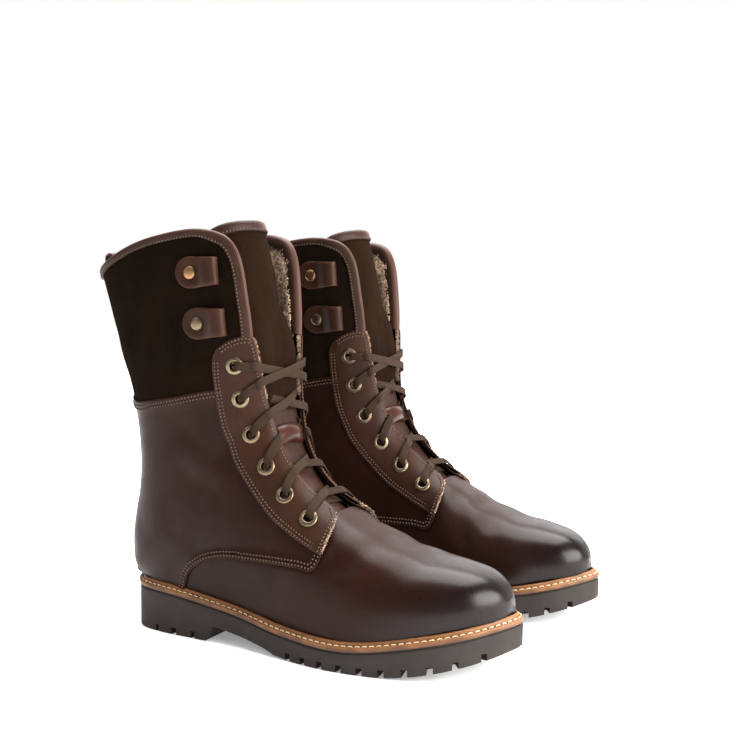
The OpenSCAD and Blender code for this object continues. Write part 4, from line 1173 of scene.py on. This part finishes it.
def lining():
    high, low = -1.75, LINING_FACE + 0.3
    back = [[7.6 + s * 14.7, 1] for s in (0, 0.25, 0.5, 0.75, 1)]
    foot = [[7.6, 0.31 + s * 0.69] for s in (0, 0.5, 1)]
    head = [[21.3, 0.16]] + [[t - 0.12, u + 0.005] for t, u in TOPLINE[1:-1]] + [[22.3, 1]]
    shape = Shape()
    a, b = np.meshgrid(np.linspace(0, 1, 90), np.linspace(0, 1, 130))
    for side in (-1, 1):
        at = patch(LINING_FRONT, back, foot, head, a, b)
        t, u = at[..., 0], side * at[..., 1]
        p = skin(t, u)
        to_top = np.clip((1 - b) * 16 - 0.9, 0, 1)
        to_front = np.clip(a * 13 - 1.2 + (t < 17.3), 0, 1)
        pinch = 1 - 0.55 * (1 - to_top) - 0.5 * (1 - to_front) * to_top
        fuzz = 0.45 * lumps(p, 4.2, 20, 11) + 0.25 * lumps(p, 2.6, 20, 12)
        slab(shape, raised(skin, t, u, high), raised(skin, t, u, low * pinch - 0.2 + fuzz))
    toe_sides = [[[1.5 + s * 5.9, u] for s in (0, 0.5, 1)] for u in (-0.98, 0.98)]
    toe_end = [[7.4, -0.98], [7.4, -0.6], [7.2, -0.4], [6.4, -0.2], [6.3, 0], [6.4, 0.2],
               [7.2, 0.4], [7.4, 0.6], [7.4, 0.98]]
    toe_start = [[1.5, u] for _, u in toe_end]
    panel(shape, (toe_sides[0], toe_sides[1], toe_start, toe_end), 1, low, -3.2, 5.0)
    make("fleece_lining", shape, MATERIALS["fleece"], stands_for=("lining",))


def locks(shape, p, n, lean, length, width, seed):
    """Short curled locks of fleece, each a thin closed blade, rooted at p and bent along lean."""
    local = np.random.default_rng(seed)
    count = len(p)
    side = unit(np.cross(n, lean))
    yaw = local.uniform(-1.2, 1.2, (count, 1))
    ahead = unit(lean * np.cos(yaw) + side * np.sin(yaw))
    across = unit(np.cross(n, ahead))
    long = length * local.uniform(0.6, 1.25, (count, 1))
    curl = local.uniform(-0.6, 0.6, (count, 1)) * long
    wide = width * local.uniform(0.7, 1.3, (count, 1))
    steps = [(0.0, 0.0, 0.0, 1.0), (0.35, 0.50, 0.15, 0.9), (0.75, 0.72, 0.6, 0.6), (1.0, 0.70, 1.0, 0.12)]
    rings = []
    for run, rise, bend, thick in steps:
        middle = p + ahead * long * run * 0.8 + n * long * rise + across * curl * bend
        ring = [middle + across * wide * thick * 0.6, middle + n * wide * thick * 0.5,
                middle - across * wide * thick * 0.6]
        rings.append(np.stack(ring, 1))
    for blade in np.stack(rings, 1):
        tube(shape, blade)


def fleece_locks():
    """Curls that stand out of the fleece along the collar and beside the tongue."""
    local = np.random.default_rng(21)
    shape = Shape()
    for side in (-1, 1):
        t = np.concatenate([local.uniform(17.3, 22.9, 1500), local.uniform(21.0, 23.0, 900)])
        u = np.concatenate([local.uniform(0.18, 0.42, 1500), local.uniform(0.3, 0.99, 900)])
        top = np.interp(u, [q[1] for q in TOPLINE], [q[0] for q in TOPLINE])
        keep = t < top - 0.7
        t, u = t[keep], side * u[keep]
        n = -outward(skin, t, u)
        near_top = np.clip((top[keep] - 0.7 - t) / 0.9, 0, 1)
        p = raised(skin, t, u, -3.0 + (LINING_FACE + 3.6) * near_top)
        lean = unit(np.stack([local.normal(size=len(t)), local.normal(size=len(t)),
                              local.normal(size=len(t)) + 0.5], -1))
        locks(shape, p, n, unit(np.cross(np.cross(n, lean), n)), 3.6, 0.95, 31 + side)
        u = side * local.uniform(0.075, 0.285, 420)
        t = np.interp(np.abs(u), [q[1] for q in EYESTAY_FOOT], [q[0] for q in EYESTAY_FOOT]) + 0.03
        n, p = outward(skin, t, u), raised(skin, t, u, local.uniform(0.1, 1.5, 420))
        ahead = unit(skin(t - 0.1, u) - skin(t + 0.1, u))
        locks(shape, p, n, ahead, 2.3, 0.42, 41 + side)
        t = local.uniform(13.6, 17.3, 420)
        u = side * np.interp(t, [q[0] for q in EYESTAY_FRONT], [q[1] for q in EYESTAY_FRONT])
        n, p = outward(skin, t, u), raised(skin, t, u, local.uniform(-3.2, -1.2, 420))
        ahead = unit(skin(t, u * 0.9) - skin(t, u * 1.1))
        locks(shape, p, n, ahead, 2.0, 0.35, 51 + side)
    make("fleece_locks", shape, MATERIALS["fleece"], smooth=60)


# ---- lace loops, rivets, pull loop ---------------------------------------------------------------------------

LOOP_LENGTH, LOOP_END, LOOP_WIDTH, LOOP_GAP = 34.0, 22.0, 19.0, 5.8
LOOP_LEATHER, LOOP_SEAT = 1.4, 1.25


def loop_frame(i, side):
    t, u = LOOP_RIVETS[i]
    return frame_at(raised(skin, t, side * u, 0.0), outward(skin, t, side * (u - 0.04)),
                    np.array([1, 0, 0.05]))


def loop_path():
    """The strap's middle line in its own plane: x along the strap, z off the shaft."""
    half = LOOP_LEATHER / 2
    radius = (LOOP_GAP + LOOP_LEATHER) / 2
    tip = LOOP_LENGTH - LOOP_END / 2 - radius - half
    low, high = half, LOOP_LEATHER * 1.5 + 0.25
    top = [(x, high) for x in np.linspace(-LOOP_END / 2, 4, 22)]
    rise = np.linspace(0, 1, 12)[1:]
    top += [(4 + (tip - 4 - 3) * s, high + (2 * radius + half - high) * (3 * s * s - 2 * s ** 3))
            for s in rise]
    turn = np.linspace(math.pi / 2, -math.pi / 2, 15)
    top += [(tip + 0.9 * radius * math.cos(a), half + radius + radius * math.sin(a)) for a in turn]
    base = [(x, low) for x in np.linspace(tip - 2, -LOOP_END / 2, 26)]
    return np.array(top + base)


def lace_loops():
    path = loop_path()
    run = unit(np.gradient(path, axis=0))
    normal = np.stack([-run[:, 1], run[:, 0]], -1)
    top_layer = np.arange(len(path)) < 34
    round_end = np.sqrt(np.clip((LOOP_END / 2) ** 2 - np.minimum(path[:, 0], 0) ** 2, 0.01, None))
    front = LOOP_WIDTH / 2 + (LOOP_END - LOOP_WIDTH) / 2 * ease(path[:, 0], 20)
    half_width = np.where(path[:, 0] < 0, round_end, front)
    profile = [(-1, 0.0), (-0.985, 0.55), (-0.94, 0.9), (-0.86, 1.0)]
    profile += [(y, 1.0) for y in (-0.65, -0.45, -0.25, 0.0, 0.25, 0.45, 0.65)]
    profile += [(-y, h) for y, h in profile[3::-1]]
    ring = profile + [(y, -h) for y, h in profile[-2:0:-1]]
    edge = np.array([math.exp(-(1 - abs(y)) * 9) for y, _ in ring])
    for side, which in ((-1, "lateral"), (1, "medial")):
        for i, level in enumerate(("upper", "lower")):
            origin, x, y, n = loop_frame(i, side)
            rings = []
            for k, (px, pz) in enumerate(path):
                points = []
                for across, height in ring:
                    w = across * half_width[k]
                    dip = 0.95 * math.exp(-((px / 7) ** 2 + (w / 7) ** 2) ** 1.5) * top_layer[k]
                    puff = 0.25 * math.cos(across * 1.5) * top_layer[k]
                    h = height * LOOP_LEATHER / 2 * (1 if height > 0 else 1)
                    q = (px + normal[k][0] * h, pz + normal[k][1] * h - dip + puff)
                    points.append(origin + q[0] * x + w * y + (q[1] + LOOP_SEAT) * n)
                rings.append(points)
            shape = Shape()
            tube(shape, rings, edge=np.tile(edge, len(path)))
            make(f"{which}_{level}_lace_loop", shape, MATERIALS["eyestay"],
                 stands_for=(f"{which}_{level}_loop",), smooth=50)


def rivets():
    seat = LOOP_SEAT + 2 * LOOP_LEATHER - 0.35
    radius = 4.6
    profile = [(0.02, LOOP_SEAT), (1.5, LOOP_SEAT), (1.5, seat), (radius - 0.3, seat - 0.1),
               (radius, seat + 0.2), (radius - 0.1, seat + 0.6), (radius - 0.5, seat + 0.95),
               (radius - 1.3, seat + 1.2), (radius - 2.4, seat + 1.38), (0.9, seat + 1.46),
               (0.02, seat + 1.48)]
    hollow = [0.6, 0.6, 0.6, 0.8, 0.5, 0.15, 0, 0, 0, 0, 0]
    for i, metal in enumerate(("copper", "brass")):
        shape = Shape()
        frames = [loop_frame(i, side) for side in (-1, 1)]
        revolve(shape, profile, frames, 40, hollow=np.tile(hollow, 40))
        make(("upper", "lower")[i] + "_rivet_caps", shape, MATERIALS[metal],
             stands_for=("rivets",), smooth=60)


PULL_WIDTH, PULL_HEIGHT, PULL_WALL = 16.0, 30.0, 1.5
PULL_LEAN = math.radians(-5)


def pull_loop():
    """A folded leather loop, sewn to the back strap by its foot."""
    base = skin(21.9, 1.0) + [-3.1, 0, 0]
    radius = 4.4 - PULL_WALL / 2
    centre = PULL_HEIGHT - 4.4
    up = [(-PULL_WALL * 1.5 - 0.4, z) for z in (0, 3)]
    up += [(-4.4 - radius, z) for z in (10, 15, 21)]
    turn = np.linspace(math.pi, 0, 13)
    over = [(-4.4 + radius * math.cos(a), centre + radius * math.sin(a)) for a in turn]
    down = [(-4.4 + radius, z) for z in (21, 15, 10)] + [(-PULL_WALL / 2, z) for z in (3, 0)]
    path = part_way(np.array(up + over + down), np.linspace(0, 1, 70))
    x = np.array([math.cos(PULL_LEAN), 0, -math.sin(PULL_LEAN)])
    z = np.array([math.sin(PULL_LEAN), 0, math.cos(PULL_LEAN)])
    run = unit(np.gradient(path, axis=0))
    normal = np.stack([-run[:, 1], run[:, 0]], -1)
    ring = [(-1, 0), (-0.97, 0.6), (-0.9, 1), (-0.4, 1.08), (0, 1.1), (0.4, 1.08), (0.9, 1), (0.97, 0.6)]
    ring = ring + [(-y, -h) for y, h in ring]
    shape = Shape()
    rings = [[np.array([base[0], 0, base[2]]) + (p[0] + m[0] * h * PULL_WALL / 2) * x
              + np.array([0, y * PULL_WIDTH / 2, 0]) + (p[1] + m[1] * h * PULL_WALL / 2) * z
              for y, h in ring] for p, m in zip(path, normal)]
    tube(shape, rings, edge=np.tile([math.exp(-(1 - abs(y)) * 8) for y, _ in ring], len(path)))
    make("pull_loop_leather", shape, MATERIALS["binding"], body="pull_tab",
         stands_for=("pull_loop",))


# ---- tongue ------------------------------------------------------------------------------------------------------

def tongue_edges(first, final, crowned):
    v = np.linspace(-1, 1, 13)
    top = [[final - (TONGUE_CROWN * q ** 4 if crowned else 0), q] for q in v]
    return ([[first, -1], [top[0][0], -1]], [[first, 1], [top[-1][0], 1]],
            [[first, q] for q in v], top)


def tongue_lift(t, v, d):
    near = np.minimum.reduce(d)
    # below the flaps its sides swell out until they lie against the eyestays
    swell = np.interp(t, [7, 10, 12, 14, 16, 17, 17.9, 19.2], [0, 2.2, 3.0, 4.2, 5.8, 6.4, 5.5, 0])
    side = np.interp(np.abs(v), [0.15, 0.35, 0.5, 0.6, 1.0], [0, 0.5, 0.9, 1, 0.92])
    return (swell * side + 0.5 * (1 - ease(near, 9)) + 0.25 * np.sin(t * 2.3 + v * 2) * np.cos(v * 3 + t)
            + 0.12 * np.sin(t * 7 + v * 5))


def tongue_pieces():
    leather_part = panel(Shape(), tongue_edges(TONGUE_START, TONGUE_SEAM, False), 1, -2.5, 0.1, 2.0,
                         lambda t, v, d: tongue_lift(t, v, d) - 0.7 * ease(d[3], 8), tongue)
    make("tongue_leather", leather_part, MATERIALS["tongue_leather"],
         stands_for=("tongue_lower",))

    def lift(t, v, d):
        return tongue_lift(t, v, d) + 0.7 * ease(d[2], 9)

    upper = panel(Shape(), tongue_edges(TONGUE_SEAM - 0.25, TONGUE_TOP, True), 1, -2.3, 0.1, 1.8,
                  lift, tongue)
    made = make("tongue_nubuck", upper, MATERIALS["nubuck"], body=None,
                stands_for=("tongue_upper",))
    for boot, obj in zip(BOOTS, made):
        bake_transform(obj)
    seam = [[TONGUE_SEAM - 0.12, v] for v in np.linspace(-0.97, 0.97, 9)]
    line = np.array(part_way(seam, np.linspace(0, 1, 120))).T
    thread = stitch_row(Shape(), tongue, line, 1.0)
    make("tongue_seam_stitches", thread, MATERIALS["thread"])
    v = np.linspace(-1, 1, 90)
    top = TONGUE_TOP - TONGUE_CROWN * v ** 4
    profile = [(-6.2, 0.5), (-6.35, 1.1), (-6.0, 1.6), (-4, 1.75), (-1.5, 1.8), (0.4, 1.4), (1.4, 0.4),
               (1.7, -1.0), (1.4, -2.5), (0.3, -3.5), (-1.5, -3.9), (-5.8, -3.7), (-6.2, -3.2),
               (-5.8, -2.7), (-1, -2.7), (0.1, -2.2), (0.2, 0.1), (-0.8, 0.5)]
    rings = band_rings(tongue, top, v, (TONGUE_TOP - 3, 0.0), profile)
    shape = Shape()
    tube(shape, rings)
    make("tongue_binding_leather", shape, MATERIALS["tongue_leather"], body="tongue",
         stands_for=("tongue_binding",), smooth=60)
    t, u = shifted(tongue, top[3:-3], v[3:-3], unit(tongue(top[3:-3] + 0.1, v[3:-3])
                                                   - tongue(top[3:-3], v[3:-3])), -4.9)
    thread = stitch_row(Shape(), tongue, (t, u), 1.8, 2.6, 1.6, 0.48)
    make("tongue_binding_stitches", thread, MATERIALS["thread"], body="tongue")


def tongue_keeper():
    """The leather tunnel sewn to the tongue, which keeps it under the laces."""
    middle = (EYELETS[KEEPER_PAIR][0] + EYELETS[KEEPER_PAIR - 1][0]) / 2
    b, a = np.meshgrid(np.linspace(-1, 1, 33), np.linspace(-1, 1, 41), indexing="ij")
    height = 0.4 + 4.8 * np.clip(np.cos(b * math.pi / 2), 0, 1) ** 0.45
    height = height + 0.35 * np.cos(a * 2.4) * (1 - b ** 2)
    flare = KEEPER_BAND * (1 + 0.10 * a ** 2)
    t, v = middle + b * flare, a * KEEPER_SPAN
    rim = 0.5 * (np.abs(a) > 0.99)
    shape = Shape()
    slab(shape, raised(tongue, t, v, height + 1.25 - rim), raised(tongue, t, v, height + rim),
         edge=np.exp(-(1 - np.abs(a)) * 14))
    make("tongue_keeper_leather", shape, MATERIALS["keeper"],
         stands_for=("tongue_keeper",))


# ---- lace --------------------------------------------------------------------------------------------------------

# how far each crossing lies along the tongue from midway between its eyelets
CROSSING_SHIFT = {1: -1.15, 2: -0.9, 3: -0.15, 4: -0.35, 5: -0.5}


def by_eyelet(i, side, reach, height, aim=None):
    """A place near an eyelet and the lace's width direction there; reach 1 is the eyestay's edge
    on the way to a crossing that lies at aim along the tongue."""
    t, u = EYELETS[i]
    front = np.interp(t, [q[0] for q in EYESTAY_FRONT], [q[1] for q in EYESTAY_FRONT])
    if aim is not None:
        t = t + (aim - t) * reach * (u - front) / u
    u = side * (u + (front - u) * reach)
    return raised(skin, t, u, height), unit(skin(t + 0.5, u) - skin(t - 0.5, u))


def crossing(i, side, lift):
    """One run of the lace from eyelet i over the throat to the next eyelet on the other side."""
    middle_t = (EYELETS[i][0] + EYELETS[i - 1][0]) / 2 + CROSSING_SHIFT[i]
    upward = by_eyelet(i, side, 0, 0)[1]
    near = [(0.03, 1.2), (0.09, 3.2), (0.28, 3.9), (0.62, 3.3), (1.0, 3.0)]
    far = ([(1.0, 3.0), (0.62, 3.3), (0.28, 3.9), (0.09, 3.2), (0.03, 1)] if i == 1
           else [(1.0, -3.4), (0.6, -4), (0.22, -4.3), (0.04, -3.4), (0, -1.5)])
    near = [by_eyelet(i, side, *q, middle_t) for q in near]
    far = [by_eyelet(i - 1, -side, *q, middle_t) for q in far]
    if i == KEEPER_PAIR:
        middle = [raised(tongue, middle_t + 0.1 * a, -a * side * KEEPER_SPAN * 1.15, KEEPER_PASS + lift)
                  for a in (-1, 0, 1)]
    else:
        n = outward(tongue, middle_t, 0.0)
        chord = (near[-1][0] + far[0][0]) / 2
        low = raised(tongue, middle_t, 0.0, LACE_PASS)
        middle = [chord + (max(0.0, (low - chord) @ n) + lift) * n]
    return near + [(p, upward) for p in middle] + far


def laces():
    shape = Shape()
    width = LACE_WIDTH * 1.22
    reach = np.linspace(-1, 1, 9)
    t, u = EYELETS[-1]
    bar = raised(skin, t * np.ones(9), reach * u, -4.6)
    ribbon(shape, bar, np.tile(by_eyelet(5, 1, 0, 0)[1], (9, 1)), width, LACE_THICKNESS)
    for side in (-1, 1):
        spots = [by_eyelet(5, side, 0.02, -1.5)]
        for i in range(5, 0, -1):
            start = side if i % 2 == 1 else -side
            spots += crossing(i, start, -start * LACE_STACK)
        spots += [by_eyelet(0, -side, 0.02, height) for height in (-1.5, -4.5)]
        points, widths = (np.array(column) for column in zip(*spots))
        ribbon(shape, points, widths, width, LACE_THICKNESS, 0.8)
    make("laced_lace", shape, MATERIALS["lace"], stands_for=("lace",), smooth=60)


# ---- stage -------------------------------------------------------------------------------------------------------

def area_light(name, at, to, size, power, colour=(1, 1, 1)):
    data = bpy.data.lights.new(name, "AREA")
    data.shape, data.size, data.size_y = "RECTANGLE", size[0], size[1]
    data.energy, data.color = power, colour
    light = bpy.data.objects.new(name, data)
    light.location = at
    light.rotation_euler = (Vector(to) - Vector(at)).to_track_quat("-Z", "Y").to_euler()
    bpy.context.scene.collection.objects.link(light)


def stage():
    """A pale floor, a white horizon that is dimmer on the near side, and soft lights."""
    reach = 3.0
    mesh = bpy.data.meshes.new("floor")
    mesh.from_pydata([(-reach, -reach, 0), (reach, -reach, 0), (reach, reach, 0), (-reach, reach, 0)],
                     [], [(0, 1, 2, 3)])
    floor = bpy.data.objects.new("floor", mesh)
    paper = Finish("floor_paper", 0.9, Specular_IOR_Level=0.1, Base_Color=(0.93, 0.93, 0.93, 1),
                   Emission_Color=(1, 1, 1, 1))
    distance = paper.node("ShaderNodeVectorMath", {0: paper.place}, operation="LENGTH").outputs["Value"]
    front = paper.node("ShaderNodeSeparateXYZ", {"Vector": paper.place}).outputs["Y"]
    glow = paper.node("ShaderNodeMath", {0: paper.ramp(distance, 0.3, 0.88, 0.3, 1.5),
                                         1: paper.ramp(front, 0.2, 1, -1.0, -0.25)},
                      operation="MULTIPLY").outputs[0]
    paper.tree.links.new(glow, paper.shader.inputs["Emission Strength"])
    mesh.materials.append(paper.material)
    bpy.context.scene.collection.objects.link(floor)
    world = bpy.data.worlds.new("studio")
    world.use_nodes = True
    tree = world.node_tree
    direction = tree.nodes.new("ShaderNodeTexCoord").outputs["Generated"]
    split = tree.nodes.new("ShaderNodeSeparateXYZ")
    tree.links.new(direction, split.inputs["Vector"])
    fall = tree.nodes.new("ShaderNodeMapRange")
    for key, value in (("From Min", 0.25), ("From Max", 0.6), ("To Min", 1.0), ("To Max", 0.35)):
        fall.inputs[key].default_value = value
    tree.links.new(split.outputs["Z"], fall.inputs["Value"])
    tree.nodes["Background"].inputs["Color"].default_value = (1, 1, 1, 1)
    ahead = tree.nodes.new("ShaderNodeMapRange")
    for key, value in (("From Min", -0.35), ("From Max", 0.15), ("To Min", 0.5), ("To Max", 1.0)):
        ahead.inputs[key].default_value = value
    tree.links.new(split.outputs["Y"], ahead.inputs["Value"])
    both = tree.nodes.new("ShaderNodeMath")
    both.operation = "MULTIPLY"
    tree.links.new(fall.outputs["Result"], both.inputs[0])
    tree.links.new(ahead.outputs["Result"], both.inputs[1])
    tree.links.new(both.outputs[0], tree.nodes["Background"].inputs["Strength"])
    bpy.context.scene.world = world
    bpy.context.scene.view_settings.view_transform = "Standard"
    bpy.context.scene.view_settings.gamma = 0.86
    area_light("overhead", (0.0, 0.5, 2.1), (0.0, 0, 0), (2.2, 2.1), 152)
    area_light("behind", (-0.35, 1.6, 1.1), (0, 0, 0.1), (1.8, 1.6), 15)
    area_light("toes", (1.64, -0.14, 0.62), (0.15, 0, 0.05), (1.5, 0.9), 58)
    area_light("key", (-0.9, -1.6, 1.7), (0, 0, 0.15), (0.9, 0.9), 7)


for node in frame["nodes"].values():
    node.data.materials.clear()
    node.data.materials.append(MATERIALS["board"])

add_camera()
lace_tails()
outsole()
welt()
footbed()
vamp()
quarters()
cuffs()
back_strap()
eyestays()
eyelets()
collar_binding()
lining()
fleece_locks()
lace_loops()
rivets()
pull_loop()
tongue_pieces()
tongue_keeper()
laces()
stage()
